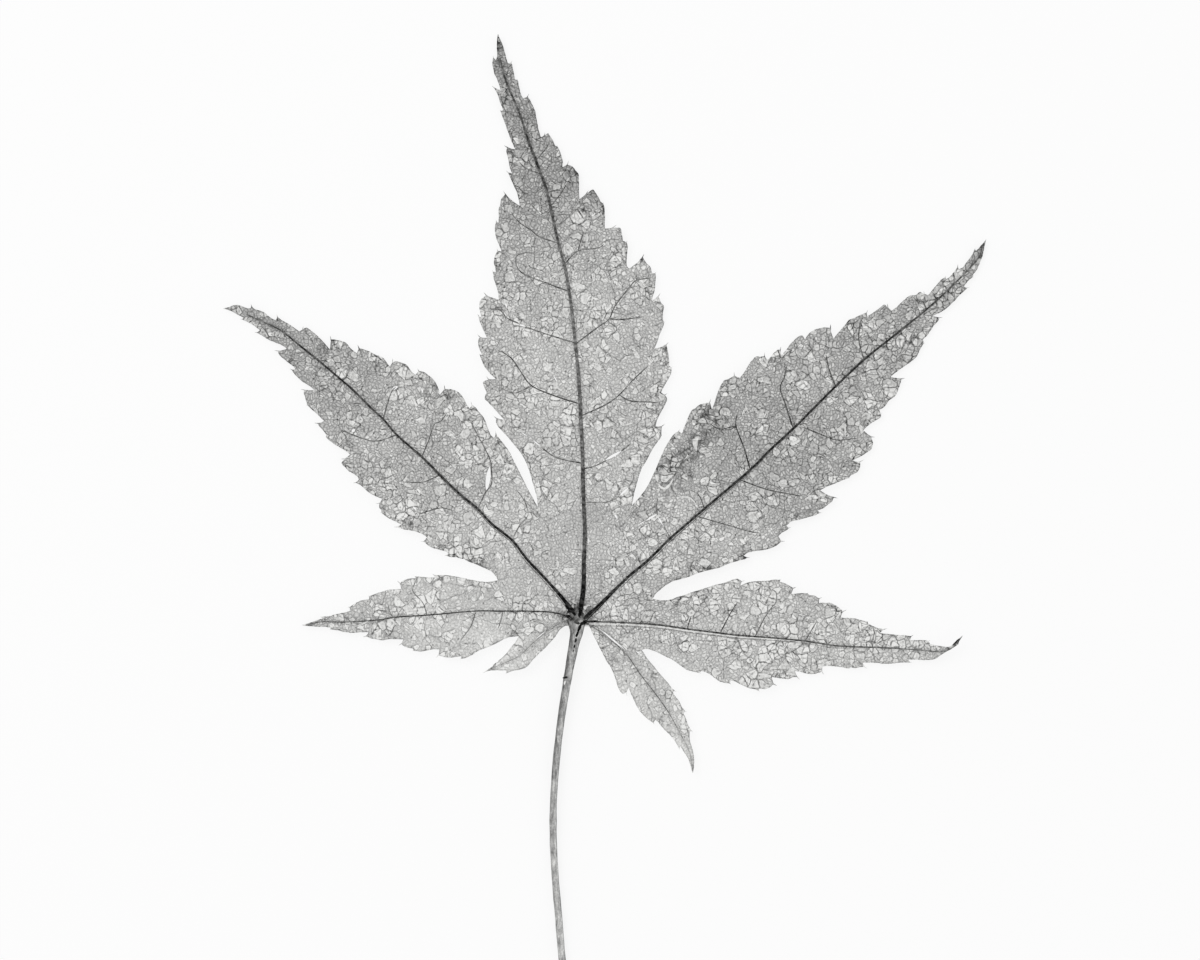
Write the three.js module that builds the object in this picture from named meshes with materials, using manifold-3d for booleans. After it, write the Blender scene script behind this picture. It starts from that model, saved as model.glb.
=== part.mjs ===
import * as THREE from "three";
import Module from "manifold-3d";

// A dried Japanese maple leaf lying flat, face up: seven toothed lobes, raised veins and a stalk, all one piece.
// Millimetres, +Z up. While it is drawn, the origin is where the stalk meets the blade, the middle lobe runs
// toward +Y and the stalk toward -Y. At the end the whole leaf is moved so that its box stands centred on the origin.

const BLADE_THICKNESS = 0.26;
const STALK_RADIUS = 0.37;
const STALK_FOOT_RADIUS = 0.5;
const STALK_NECK_RADIUS = 0.52;
const HUB_RADIUS = 0.85;
const REST_HEIGHT = 0.3;
const CROWN_RISE = 0.75;
const CROWN_REACH = 24;
const RIPPLE = 0.28;
const CURL_RISE = 0.045;
const CURL_START = 31;
const CURL_BELOW = 8;
const SLAB_STEP = 3.6;
const PRISM_LOW = -2;
const PRISM_HIGH = 6;
const SLAB = { left: -37, right: 42, low: -17, high: 60 };
const HUB_FLATNESS = 0.55;
const STALK_DROP = 1.6;
const SWELLING = 0.05;

// The bays between neighbouring lobes, and the two places where the blade's edge meets the stalk.
const STALK_RIGHT = [1.0, -0.5];
const BAY_RIGHT_LOW = [6.28, -2.95];
const BAY_RIGHT_HIGH = [7.35, 2.15];
const BAY_RIGHT_TOP = [5.28, 11.45];
const BAY_LEFT_TOP = [-4.1, 11.3];
const BAY_LEFT_HIGH = [-8.12, 3.98];
const BAY_LEFT_LOW = [-6.03, -1.6];
const STALK_LEFT = [-1.2, -0.42];

// Each edge runs from its bay out to the lobe's end. A pair [x, y] is a place that the edge passes.
// Four numbers are one tooth: its tip, then the hollow just beyond it.
const LOBES = [
  {
    name: "small right lobe",
    first: [
      STALK_RIGHT, [1.35, -1.3], [1.8, -2.2], [2.2, -3.0], [2.7, -3.95], [3.3, -4.95], [3.65, -5.9], [3.95, -6.8],
      [4.35, -7.35], [4.8, -7.6, 4.95, -6.75], [5.1, -7.1], [5.5, -8.0], [5.9, -8.8], [6.4, -9.45], [6.9, -9.9],
      [7.55, -10.45, 7.65, -9.95], [7.9, -10.2], [8.5, -10.9], [9.1, -11.5], [9.6, -12.1],
      [10.05, -12.92, 10.15, -12.6], [10.5, -13.2], [10.9, -13.8], [11.1, -14.4], [11.25, -15.0],
    ],
    end: [11.38, -15.32],
    second: [
      BAY_RIGHT_LOW, [6.6, -3.5], [7.1, -4.15], [7.8, -5.0], [8.4, -5.7], [9.0, -6.4], [9.3, -6.8],
      [9.73, -7.15, 9.35, -7.15], [9.6, -7.6], [10.0, -8.1], [10.3, -8.7], [10.77, -9.2, 10.45, -9.3],
      [10.7, -9.9], [10.95, -10.6], [11.36, -11.2, 11.05, -11.15], [11.05, -11.7], [11.2, -12.4], [11.4, -13.1],
      [11.5, -13.9], [11.5, -14.6],
    ],
  },
  {
    name: "lower right lobe",
    first: [
      BAY_RIGHT_LOW, [6.6, -2.85], [7.2, -2.95], [7.9, -3.25], [8.7, -3.65], [9.5, -4.05], [10.1, -4.5],
      [10.8, -4.95], [11.5, -5.15], [12.15, -5.35, 12.2, -5.05], [12.7, -5.2], [13.2, -5.5], [13.7, -5.9],
      [14.3, -6.2], [15.2, -6.42, 15.15, -6.03], [15.6, -6.15], [16.2, -6.45], [16.9, -6.75], [17.5, -6.9],
      [18.05, -7.15, 18.0, -6.85], [18.6, -6.9], [19.0, -6.75], [19.8, -6.58, 19.28, -5.68], [19.7, -5.75],
      [20.3, -5.85], [20.9, -5.9], [21.4, -5.7], [22.1, -5.98, 21.6, -5.12], [22.2, -5.2], [22.8, -5.35],
      [23.4, -5.4], [24.05, -5.25], [24.48, -5.45, 24.35, -4.66], [25.0, -4.6], [25.8, -4.65], [26.4, -4.75],
      [27.1, -4.87, 27.15, -4.73], [27.7, -4.8], [28.2, -4.72], [28.8, -4.86, 28.37, -4.26], [29.0, -4.25],
      [29.8, -4.3], [30.5, -4.38], [31.3, -4.35], [32.2, -4.25], [33.3, -4.27, 32.95, -3.92], [33.6, -3.95],
      [34.3, -4.0], [35.0, -3.98], [35.6, -3.85], [36.0, -3.6], [36.5, -3.25], [37.0, -2.95], [37.5, -2.65],
      [37.85, -2.4], [37.95, -2.05],
    ],
    end: [38.3, -1.5],
    second: [
      BAY_RIGHT_HIGH, [8.2, 1.98], [9.1, 2.05], [10.0, 2.38], [11.0, 2.7], [12.0, 3.02], [13.0, 3.35],
      [14.0, 3.6], [15.0, 3.88], [15.4, 4.08], [15.9, 4.1], [16.55, 3.95, 16.12, 3.45], [16.7, 3.68],
      [17.4, 3.85], [18.2, 3.9], [19.0, 3.95], [19.6, 4.05], [20.2, 4.02, 20.05, 3.85], [20.5, 3.7],
      [21.0, 3.45], [21.8, 3.33, 21.22, 2.62], [21.8, 2.65], [22.4, 2.7], [22.97, 2.7, 23.05, 2.5],
      [23.6, 2.42], [24.3, 2.27, 24.0, 1.7], [24.5, 1.72], [25.2, 1.68], [25.7, 1.45], [26.1, 1.17],
      [26.76, 1.0, 26.15, 0.26], [26.7, 0.22], [27.5, 0.15], [28.2, 0.0], [28.95, -0.2, 28.95, -0.4],
      [29.4, -0.6], [29.95, -0.8], [30.8, -0.84, 30.1, -1.3], [30.4, -1.38], [31.2, -1.42], [32.0, -1.5],
      [32.8, -1.55], [33.42, -1.5, 33.1, -2.0], [33.7, -2.02], [34.4, -2.0], [35.07, -2.0, 35.05, -2.4],
      [35.6, -2.5], [36.2, -2.6], [36.9, -2.65], [37.2, -2.5], [37.5, -2.2], [37.85, -1.85],
    ],
  },
  {
    name: "upper right lobe",
    first: [
      BAY_RIGHT_HIGH, [7.8, 2.8], [8.5, 3.35], [9.3, 3.85], [10.2, 4.1], [11.0, 4.35], [12.0, 4.75], [13.0, 5.0],
      [14.0, 5.25], [15.0, 5.65], [16.0, 5.95], [16.6, 6.1], [17.1, 6.22, 16.45, 6.42], [16.9, 6.75],
      [17.6, 6.88], [18.4, 7.0], [19.1, 7.15], [19.7, 7.4], [20.6, 7.88, 19.95, 8.35], [20.3, 8.75],
      [20.8, 9.0], [21.2, 9.25, 20.75, 9.42], [21.2, 9.85], [22.0, 10.03], [23.0, 10.3], [23.7, 10.5],
      [24.3, 10.74, 23.87, 10.95], [24.45, 11.2], [24.95, 11.57], [25.3, 11.87], [25.9, 12.2, 24.12, 12.98],
      [24.7, 13.3], [25.57, 13.65], [26.4, 14.0], [27.1, 14.2, 27.12, 14.42], [27.8, 14.8], [28.1, 15.3],
      [28.5, 16.0, 27.3, 15.95], [27.9, 16.2], [28.67, 16.67], [29.2, 17.05], [29.4, 17.6], [29.65, 18.3, 28.45, 19.0],
      [29.0, 19.5], [29.67, 19.94], [30.2, 20.3], [30.36, 20.7, 30.05, 21.02], [30.55, 21.33], [31.05, 22.0],
      [31.67, 22.45], [32.0, 23.2], [32.2, 23.8], [32.67, 24.2, 31.2, 24.33], [31.55, 24.65], [32.2, 25.15],
      [33.0, 25.67], [33.67, 26.2], [33.9, 26.55], [34.2, 27.2], [34.63, 27.75, 34.42, 28.05], [34.9, 28.55],
      [35.44, 29.33], [36.0, 30.0], [36.4, 30.27, 35.44, 30.44], [36.0, 30.7], [36.67, 31.1], [37.33, 31.7],
      [38.0, 32.4], [38.6, 32.97], [39.1, 33.27, 38.5, 33.35], [38.9, 33.9], [39.5, 34.33, 39.42, 34.55],
      [39.8, 35.0], [40.06, 35.6], [40.33, 36.3], [40.5, 37.0], [40.6, 37.5],
    ],
    end: [40.73, 38.08],
    second: [
      BAY_RIGHT_TOP, [5.8, 12.0], [6.4, 12.75], [6.9, 13.5], [7.3, 14.3], [7.7, 15.2], [8.1, 16.1], [8.5, 17.0],
      [9.0, 17.9], [9.5, 18.6], [10.05, 19.08, 10.3, 18.65], [10.6, 19.5], [10.9, 20.25], [11.3, 21.0],
      [11.6, 21.17], [12.0, 21.5], [12.6, 21.7], [13.2, 22.12, 13.32, 21.05], [13.6, 21.9], [14.0, 23.1],
      [14.5, 23.92], [15.0, 24.1], [15.5, 24.82, 16.1, 24.2], [16.5, 24.75], [17.2, 25.85], [17.7, 26.33],
      [18.2, 26.35], [18.55, 26.8, 18.85, 26.0], [19.1, 26.2], [19.45, 26.67], [19.8, 27.0],
      [20.2, 27.38, 20.28, 26.45], [20.67, 26.95], [21.2, 27.67], [21.9, 28.3], [22.35, 28.47],
      [22.58, 28.3, 22.6, 28.1], [22.9, 28.55], [23.44, 29.0], [24.1, 29.17], [24.7, 29.28],
      [25.17, 29.62, 25.45, 28.17], [25.9, 28.67], [26.55, 29.44], [27.0, 30.0], [27.44, 30.17], [27.9, 30.4],
      [28.5, 30.64], [28.9, 31.05, 28.85, 30.38], [29.33, 30.67], [30.0, 31.17], [30.55, 31.55],
      [30.85, 31.64, 31.28, 30.94], [31.9, 31.44], [32.67, 32.17], [33.1, 32.44], [33.67, 32.5], [34.1, 32.83],
      [34.5, 32.92, 34.92, 32.5], [35.44, 33.1], [36.0, 33.8], [36.45, 34.2], [36.68, 34.42, 36.75, 34.1],
      [37.2, 34.44], [37.67, 35.0], [37.9, 35.58, 38.05, 35.1], [38.44, 35.33], [38.9, 35.94], [39.28, 36.44],
      [39.64, 37.2, 39.72, 36.94], [40.0, 37.2], [40.35, 37.6],
    ],
  },
  {
    name: "middle lobe",
    first: [
      BAY_RIGHT_TOP, [5.5, 12.6], [5.85, 13.9], [6.2, 15.0], [6.8, 16.05], [7.3, 17.0], [7.75, 17.7],
      [8.2, 18.3], [8.25, 18.9], [8.6, 19.62, 7.67, 19.35], [7.8, 19.95], [8.15, 20.7], [8.55, 21.4],
      [8.8, 22.05], [8.85, 22.68, 8.2, 22.75], [8.5, 23.35], [8.95, 24.1], [9.25, 24.8], [9.35, 25.35, 9.0, 25.5],
      [9.0, 26.0], [8.9, 26.8], [9.0, 27.85, 7.5, 27.12], [7.8, 27.7], [8.07, 28.6], [8.36, 29.2],
      [8.65, 29.88, 8.37, 30.07], [8.4, 30.6], [8.5, 31.3], [8.43, 31.65, 8.2, 31.7], [8.07, 32.1],
      [8.15, 32.72, 7.32, 31.95], [7.38, 32.4], [7.57, 32.9], [7.64, 33.6], [7.7, 34.2],
      [7.69, 34.85, 7.3, 34.7], [7.14, 35.3], [6.8, 35.65], [6.54, 36.65, 5.0, 35.15], [4.78, 35.4],
      [4.76, 36.0], [4.82, 36.7], [4.88, 37.3], [4.83, 37.95, 4.4, 37.95], [4.3, 38.6], [4.1, 39.2],
      [3.75, 39.5, 2.58, 39.15], [2.58, 39.7], [2.6, 40.4], [2.55, 41.1], [2.45, 41.8, 2.17, 41.85],
      [1.75, 42.6], [1.35, 43.03], [0.95, 43.03, 0.05, 42.12], [0.0, 42.7], [0.0, 43.4], [0.0, 44.1],
      [-0.07, 44.65], [-0.35, 45.0], [-0.7, 45.4], [-1.05, 45.95, -1.67, 45.3], [-1.62, 45.9],
      [-1.83, 46.6], [-2.0, 47.1], [-2.15, 47.5, -2.42, 47.47], [-2.6, 47.95], [-2.9, 48.4], [-3.1, 48.7],
      [-3.4, 48.82, -3.8, 48.3], [-4.02, 48.95], [-4.15, 49.6], [-4.3, 50.4], [-4.45, 51.1], [-4.75, 51.7],
      [-4.95, 52.15], [-5.02, 52.65, -5.6, 52.15], [-5.82, 52.6], [-5.95, 53.2], [-6.15, 54.15, -6.4, 54.1],
      [-6.52, 54.7], [-6.65, 55.35], [-6.7, 55.98, -7.12, 55.73], [-7.28, 56.2], [-7.42, 56.8], [-7.6, 57.4],
      [-7.85, 58.0],
    ],
    end: [-8.1, 58.62],
    second: [
      BAY_LEFT_TOP, [-4.2, 12.2], [-4.45, 13.1], [-4.75, 14.2], [-5.05, 15.1], [-5.4, 16.0], [-5.85, 16.75],
      [-6.5, 17.55], [-7.3, 18.5], [-8.0, 19.25], [-8.3, 19.75], [-8.57, 20.4, -7.5, 20.05], [-8.0, 20.6],
      [-8.6, 21.25], [-9.1, 21.8], [-9.43, 22.15], [-9.4, 22.62, -9.2, 22.7], [-9.42, 23.2], [-9.58, 23.8],
      [-9.28, 24.38, -8.3, 24.08], [-8.9, 24.65], [-9.35, 25.2], [-9.7, 25.9], [-9.98, 26.65, -9.68, 26.52],
      [-9.95, 27.1], [-10.1, 27.8], [-10.2, 28.6, -9.2, 28.2], [-9.4, 28.65], [-9.7, 29.3], [-9.95, 29.9],
      [-10.2, 30.65, -9.73, 30.3], [-9.88, 30.75], [-9.97, 31.3], [-9.85, 32.0], [-9.55, 32.8, -8.0, 32.05],
      [-8.13, 32.9], [-8.33, 33.6], [-8.55, 34.2], [-8.7, 35.0, -8.32, 34.8], [-8.38, 35.2], [-8.5, 35.7],
      [-8.45, 36.3], [-8.2, 37.2, -7.75, 36.85], [-8.02, 37.6], [-8.3, 38.3], [-8.42, 39.2],
      [-8.28, 40.05, -8.05, 39.72], [-8.03, 40.3], [-8.07, 41.05], [-7.9, 41.45], [-7.8, 42.1],
      [-7.58, 42.95, -5.95, 41.45], [-6.02, 42.1], [-6.2, 42.7], [-6.5, 43.4], [-6.85, 44.2],
      [-7.3, 44.95, -6.7, 44.7], [-6.88, 45.1], [-7.02, 45.7], [-7.13, 46.3], [-7.27, 46.9],
      [-7.5, 47.5, -6.38, 47.1], [-6.8, 48.0], [-7.1, 48.8], [-7.33, 49.5], [-7.62, 50.25],
      [-7.92, 51.05, -7.6, 50.95], [-7.72, 51.35], [-7.97, 52.05], [-8.15, 52.6], [-8.72, 53.42, -7.87, 53.03],
      [-7.97, 53.5], [-8.17, 54.05], [-8.5, 54.8], [-8.67, 55.6], [-8.6, 56.45, -8.33, 56.02], [-8.2, 56.4],
      [-8.22, 57.2], [-8.2, 58.0],
    ],
  },
  {
    name: "upper left lobe",
    first: [
      BAY_LEFT_TOP, [-4.5, 12.0], [-5.1, 13.1], [-5.6, 14.1], [-6.1, 15.1], [-6.6, 16.1], [-7.0, 16.9],
      [-7.5, 17.6], [-8.0, 18.2], [-8.33, 18.9, -8.5, 18.2], [-8.8, 18.5], [-9.0, 18.95], [-9.2, 19.5],
      [-9.5, 20.2], [-10.0, 20.8], [-10.4, 21.3], [-10.78, 21.8, -10.94, 21.15], [-11.2, 21.5], [-11.5, 22.1],
      [-11.85, 22.6], [-12.3, 22.93], [-12.9, 23.08], [-13.45, 23.52, -13.95, 22.53], [-14.0, 22.95],
      [-14.2, 23.5], [-14.6, 24.1], [-15.0, 24.45], [-15.5, 24.8], [-16.15, 25.2, -16.35, 24.53], [-16.7, 24.8],
      [-17.0, 25.2], [-17.3, 25.55], [-17.8, 25.75], [-18.3, 25.9], [-18.63, 26.17, -18.93, 25.37],
      [-19.2, 25.7], [-19.6, 26.2], [-20.1, 26.6, -20.5, 26.6], [-21.0, 26.87], [-21.5, 27.08],
      [-22.15, 27.55, -22.25, 26.67], [-22.6, 26.95], [-23.0, 27.37], [-23.35, 27.77], [-23.9, 27.95],
      [-24.5, 28.05], [-24.9, 28.47, -24.95, 27.08], [-25.3, 27.5], [-25.7, 27.95], [-26.2, 28.45],
      [-26.8, 28.95], [-27.3, 29.22], [-27.6, 29.35, -28.0, 28.87], [-28.4, 29.18], [-28.9, 29.5],
      [-29.4, 29.8], [-29.9, 30.1], [-30.25, 30.55, -30.35, 30.0], [-30.8, 30.2], [-31.2, 30.5],
      [-31.6, 30.8], [-32.1, 31.0], [-32.55, 31.18], [-32.8, 31.6, -32.9, 31.18], [-33.3, 31.22],
      [-33.8, 31.42], [-34.4, 31.5], [-34.9, 31.32],
    ],
    end: [-35.62, 31.13],
    second: [
      BAY_LEFT_HIGH, [-8.28, 4.35], [-8.7, 4.82], [-9.3, 5.15], [-10.0, 5.45], [-11.0, 5.85], [-11.6, 6.1],
      [-12.3, 6.25], [-12.9, 6.32], [-13.48, 6.45, -13.0, 6.65], [-13.4, 6.87], [-14.0, 7.05], [-14.6, 7.2],
      [-15.1, 7.48], [-15.88, 7.84, -15.2, 8.27], [-15.6, 8.57], [-16.2, 8.82], [-16.9, 8.97], [-17.7, 9.12],
      [-18.5, 9.3, -17.75, 9.57], [-18.15, 9.77], [-18.65, 9.97], [-19.2, 10.3], [-19.85, 10.75, -19.75, 11.0],
      [-19.95, 11.22], [-20.33, 11.65, -19.68, 12.1], [-20.3, 12.37], [-21.0, 12.77], [-21.5, 13.2],
      [-21.9, 13.52], [-22.6, 13.7, -22.02, 14.0], [-22.1, 14.3], [-22.5, 14.6], [-23.0, 14.87], [-23.4, 15.3],
      [-23.75, 15.7], [-23.86, 16.08, -22.9, 16.55], [-23.3, 16.9], [-23.9, 17.25], [-24.5, 17.6],
      [-25.0, 17.98], [-25.4, 18.35, -25.27, 18.52], [-25.6, 18.95], [-26.0, 19.4], [-26.55, 19.7, -25.5, 19.9],
      [-25.85, 20.25], [-26.3, 20.7], [-26.9, 21.2], [-27.32, 21.5, -27.23, 21.72], [-27.4, 22.2],
      [-27.53, 22.7], [-27.88, 23.1, -26.55, 23.03], [-26.85, 23.33], [-27.4, 23.67], [-27.9, 24.03],
      [-28.4, 24.52], [-28.95, 25.15, -28.4, 25.1], [-28.65, 25.42], [-29.2, 25.82], [-29.7, 26.25],
      [-30.05, 26.6], [-30.5, 26.95, -29.25, 27.12], [-29.6, 27.42], [-30.1, 27.67], [-30.7, 27.87],
      [-31.2, 28.12], [-31.7, 28.45], [-32.48, 28.78, -31.93, 29.0], [-32.3, 29.27], [-32.8, 29.62],
      [-33.3, 29.87], [-33.9, 30.1, -33.55, 30.23], [-34.0, 30.47], [-34.5, 30.75], [-35.0, 30.98],
    ],
  },
  {
    name: "lower left lobe",
    first: [
      BAY_LEFT_HIGH, [-9.0, 3.82], [-10.0, 3.9], [-11.0, 4.08], [-12.0, 4.3], [-13.0, 4.45], [-13.9, 4.5],
      [-14.65, 4.58, -14.4, 4.25], [-14.9, 4.25], [-15.5, 4.3], [-16.0, 4.33], [-16.45, 4.4, -16.35, 4.17],
      [-17.0, 4.15], [-17.6, 3.95], [-18.2, 3.95, -17.78, 3.12], [-18.4, 3.08], [-19.0, 3.05], [-19.7, 2.82],
      [-20.4, 2.6], [-21.1, 2.38, -20.98, 2.08], [-21.5, 2.02], [-22.0, 1.85], [-22.55, 1.58],
      [-23.1, 1.3, -22.9, 0.93], [-23.4, 0.77], [-24.0, 0.65], [-24.87, 0.43, -24.97, 0.35], [-25.3, 0.38],
      [-25.9, 0.35, -25.7, 0.15], [-26.3, -0.07], [-27.0, -0.3],
    ],
    end: [-27.7, -0.5],
    second: [
      BAY_LEFT_LOW, [-6.9, -1.68], [-7.6, -1.95], [-8.3, -2.35], [-9.1, -2.7], [-9.9, -2.98], [-10.4, -3.3],
      [-10.9, -3.6], [-11.4, -3.8], [-11.9, -3.95, -11.78, -3.6], [-12.3, -3.68], [-13.0, -3.75], [-13.6, -3.65],
      [-14.33, -3.77, -13.98, -2.92], [-14.5, -2.92], [-15.2, -3.05], [-15.8, -3.15], [-16.65, -3.05, -16.6, -2.83],
      [-17.05, -2.75], [-17.5, -2.62], [-18.05, -2.54, -17.57, -1.93], [-18.2, -1.9], [-19.0, -1.92],
      [-19.7, -2.02], [-20.3, -1.9], [-20.9, -1.8], [-21.6, -1.68, -21.03, -1.22], [-21.6, -1.2], [-22.2, -1.25],
      [-23.0, -1.25], [-23.6, -1.15], [-24.1, -1.02], [-24.93, -0.98, -24.9, -0.73], [-25.4, -0.68],
      [-26.2, -0.68], [-27.0, -0.6],
    ],
  },
  {
    name: "small left lobe",
    first: [
      BAY_LEFT_LOW, [-6.3, -2.1], [-6.8, -2.72], [-7.3, -3.38], [-7.8, -3.85], [-8.1, -4.0, -8.1, -4.15],
      [-8.65, -4.45, -8.6, -4.6], [-9.0, -4.85],
    ],
    end: [-9.6, -5.28],
    second: [
      STALK_LEFT, [-1.9, -0.95], [-2.35, -1.6], [-2.9, -2.25], [-3.4, -2.8], [-4.0, -3.35], [-4.6, -3.95],
      [-5.0, -4.45], [-5.35, -4.75], [-6.0, -4.95], [-6.7, -5.1], [-7.35, -5.35, -7.25, -5.02], [-7.7, -5.0],
      [-8.4, -5.02], [-9.0, -5.05],
    ],
  },
];

// The ribs, one for each lobe, from the hub outward: places that a smooth curve passes.
const RIBS = [
  { radius: 0.2, through: [[0.1, 0.5], [0.45, 3.2], [0.57, 7], [0.5, 11], [0.38, 16], [0.1, 22], [-0.35, 27.4],
    [-0.95, 32.6], [-2.0, 37.5], [-3.3, 43.2], [-5.15, 48.2], [-6.6, 52.3], [-7.9, 56.2]] },
  { radius: 0.19, through: [[-0.5, 0.5], [-1.8, 2.4], [-5.2, 6.1], [-8.7, 9.6], [-13.6, 14.2], [-18.2, 18.5],
    [-22.6, 23.0], [-28, 27.5], [-31.8, 29.9], [-33.6, 30.7]] },
  { radius: 0.19, through: [[0.5, 0.1], [3.1, 2.6], [6.9, 6.0], [11, 9.8], [17.1, 15.0], [23.2, 20.9],
    [28.7, 26.2], [34.8, 31.1], [38.9, 35.0], [40.3, 37.1]] },
  { radius: 0.15, through: [[-0.6, 0.2], [-4.9, 0.9], [-10.5, 0.9], [-15.1, 0.5], [-20.2, 0.0], [-24.2, -0.15],
    [-26.6, -0.4]] },
  { radius: 0.15, through: [[0.5, -0.2], [3.1, -0.17], [8.3, -0.5], [14.1, -1.3], [22.6, -2.1], [30, -2.75],
    [34, -2.95], [36.3, -3.0]] },
  { radius: 0.1, through: [[-0.8, 0.0], [-2.7, -0.5], [-4.3, -1.9], [-5.9, -3.5], [-7.3, -4.2], [-8.6, -4.8]] },
  { radius: 0.13, through: [[0.6, -0.3], [3.1, -1.9], [5.0, -3.8], [7.75, -7.5], [10.1, -11.3], [11.1, -13.5]] },
];

// Side veins that leave the ribs.
const SIDE_VEINS = [
  [[-1.26, 33.0], [-3.0, 33.6], [-5.8, 34.8], [-6.3, 36.3]],
  [[-0.5, 27.8], [-3.3, 28.6], [-7.2, 30.2], [-9.0, 31.1]],
  [[0.05, 21.6], [-2.4, 22.4], [-4.7, 23.4], [-6.7, 26.1], [-7.8, 26.9]],
  [[0.2, 15.8], [-2.4, 16.3], [-3.9, 17.6], [-6.7, 19.2]],
  [[-2.2, 37.8], [-4.8, 39.0], [-6.9, 40.9]],
  [[-1.5, 35.8], [-0.1, 36.9], [2.5, 37.6]],
  [[-0.3, 27.7], [1.9, 29.3], [4.2, 32.2], [6.8, 34.1]],
  [[0.2, 20.5], [2.6, 21.5], [4.0, 22.5], [6.9, 25.4]],
  [[0.4, 15.2], [2.6, 16.0], [5.4, 18.0]],
  [[-15.6, 16.3], [-14.6, 19.4], [-13.3, 20.8]],
  [[-10.1, 11.1], [-9.1, 13.2], [-9.0, 16.2], [-10.9, 19.2]],
  [[-6.7, 8.0], [-5.1, 10.5], [-6.2, 13.0]],
  [[-19.6, 20.3], [-18.8, 22.7], [-18.3, 23.3]],
  [[-18.3, 18.5], [-20.6, 17.9], [-23.9, 19.0]],
  [[-14.4, 14.8], [-17.7, 13.8]],
  [[12.5, 11.2], [11.8, 12.7]],
  [[17.2, 15.3], [15.7, 19.4], [15.8, 20.6]],
  [[21.3, 19.2], [20.0, 23.3], [20.9, 25.5]],
  [[25.7, 23.3], [25.0, 25.1], [24.7, 26.5]],
  [[28.5, 26.1], [28.0, 28.0], [28.1, 29.9]],
  [[12.2, 10.7], [14.8, 9.5], [18.0, 8.7]],
  [[16.4, 14.3], [18.6, 13.1], [22.2, 12.4]],
  [[21.8, 19.5], [25.8, 18.0], [27.9, 18.2]],
  [[-15.2, 0.6], [-16.5, 2.7], [-16.2, 4.0]],
  [[14.3, -1.3], [15.2, 0.8], [15.85, 1.8]],
  [[17.8, -1.6], [18.6, 0.3], [19.6, 1.7]],
  [[22.8, -2.1], [23.8, -0.1]],
  [[15.7, -1.5], [16.6, -3.5]],
];

const SIDE_VEIN_RADIUS = 0.085;
const VEIN_TAPER = 0.4;
const VEIN_SUNK = 0.2;
const RIB_STEP = 3.2;
const SIDE_VEIN_STEP = 2.4;
const RIB_SIDES = 5;
const DRAPE_STEP = 1.5;

// The stalk's centre line, from the hub down to its natural foot.
const STALK_LINE = [
  [0.05, 0.5], [-0.18, -0.9], [-0.5, -2.4], [-1.1, -5.6], [-1.8, -10], [-2.35, -15], [-2.6, -20], [-2.43, -25],
  [-1.98, -30], [-1.58, -34], [-1.2, -37.2], [-1.12, -38.4],
];
const STALK_STEP = 1.6;
const STALK_SIDES = 10;

const wasm = await Module();
wasm.setup();

// How high the middle of the blade lies above the surface it rests on: it stands a little proud at the hub, sinks
// toward the lobes' ends in slow waves, and the lower right lobe's end curls up.
function lie(x, y) {
  const reach = Math.hypot(x, y);
  const crown = CROWN_RISE * Math.exp(-((reach / CROWN_REACH) ** 2));
  const waves = RIPPLE * (0.5 + 0.5 * Math.sin(0.19 * x + 0.7) * Math.cos(0.16 * y - 0.5));
  const past = y < CURL_BELOW ? Math.max(0, x - CURL_START) : 0;
  return REST_HEIGHT - BLADE_THICKNESS / 2 + crown + waves + CURL_RISE * past ** 1.5;
}

// A three.js geometry as a closed manifold body.
function solid(geometry) {
  const bare = geometry.index ? geometry.toNonIndexed() : geometry.clone();
  bare.deleteAttribute("normal");
  bare.deleteAttribute("uv");
  const place = bare.attributes.position;
  const seen = new Map();
  const vertices = [];
  const corners = [];
  for (let i = 0; i < place.count; i++) {
    const at = [place.getX(i), place.getY(i), place.getZ(i)];
    const key = at.map((v) => Math.round(v * 1e5)).join(",");
    if (!seen.has(key)) {
      seen.set(key, vertices.length / 3);
      vertices.push(...at);
    }
    corners.push(seen.get(key));
  }
  const triangles = [];
  for (let i = 0; i < corners.length; i += 3) {
    const [a, b, c] = corners.slice(i, i + 3);
    if (a !== b && b !== c && c !== a) triangles.push(a, b, c);
  }
  const mesh = new wasm.Mesh({
    numProp: 3,
    vertProperties: new Float32Array(vertices),
    triVerts: new Uint32Array(triangles),
  });
  return new wasm.Manifold(mesh);
}

// One edge of a lobe as plain points from its bay outward.
function edge(entries) {
  const points = [];
  for (const entry of entries) {
    points.push([entry[0], entry[1]]);
    if (entry.length === 4) points.push([entry[2], entry[3]]);
  }
  return points;
}

// The whole blade's outline, anticlockwise from the right of the stalk.
function outline() {
  const points = [];
  for (const lobe of LOBES) {
    points.push(...edge(lobe.first), lobe.end, ...edge(lobe.second).reverse());
  }
  return points.filter((p, i) => {
    const before = points[(i + points.length - 1) % points.length];
    return Math.hypot(p[0] - before[0], p[1] - before[1]) > 0.01;
  });
}

// The blade: the outline as a tall prism, met with a thin slab bent to the way the leaf lies.
function blade() {
  const shape = new THREE.Shape(outline().map(([x, y]) => new THREE.Vector2(x, y)));
  const prism = new THREE.ExtrudeGeometry(shape, { depth: PRISM_HIGH - PRISM_LOW, bevelEnabled: false });
  prism.translate(0, 0, PRISM_LOW);
  const wide = SLAB.right - SLAB.left;
  const long = SLAB.high - SLAB.low;
  const slab = new THREE.BoxGeometry(
    wide,
    long,
    BLADE_THICKNESS,
    Math.round(wide / SLAB_STEP),
    Math.round(long / SLAB_STEP),
    1
  );
  slab.translate((SLAB.left + SLAB.right) / 2, (SLAB.low + SLAB.high) / 2, 0);
  const place = slab.attributes.position;
  for (let i = 0; i < place.count; i++) {
    place.setZ(i, place.getZ(i) + lie(place.getX(i), place.getY(i)));
  }
  return solid(prism).intersect(solid(slab));
}

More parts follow.
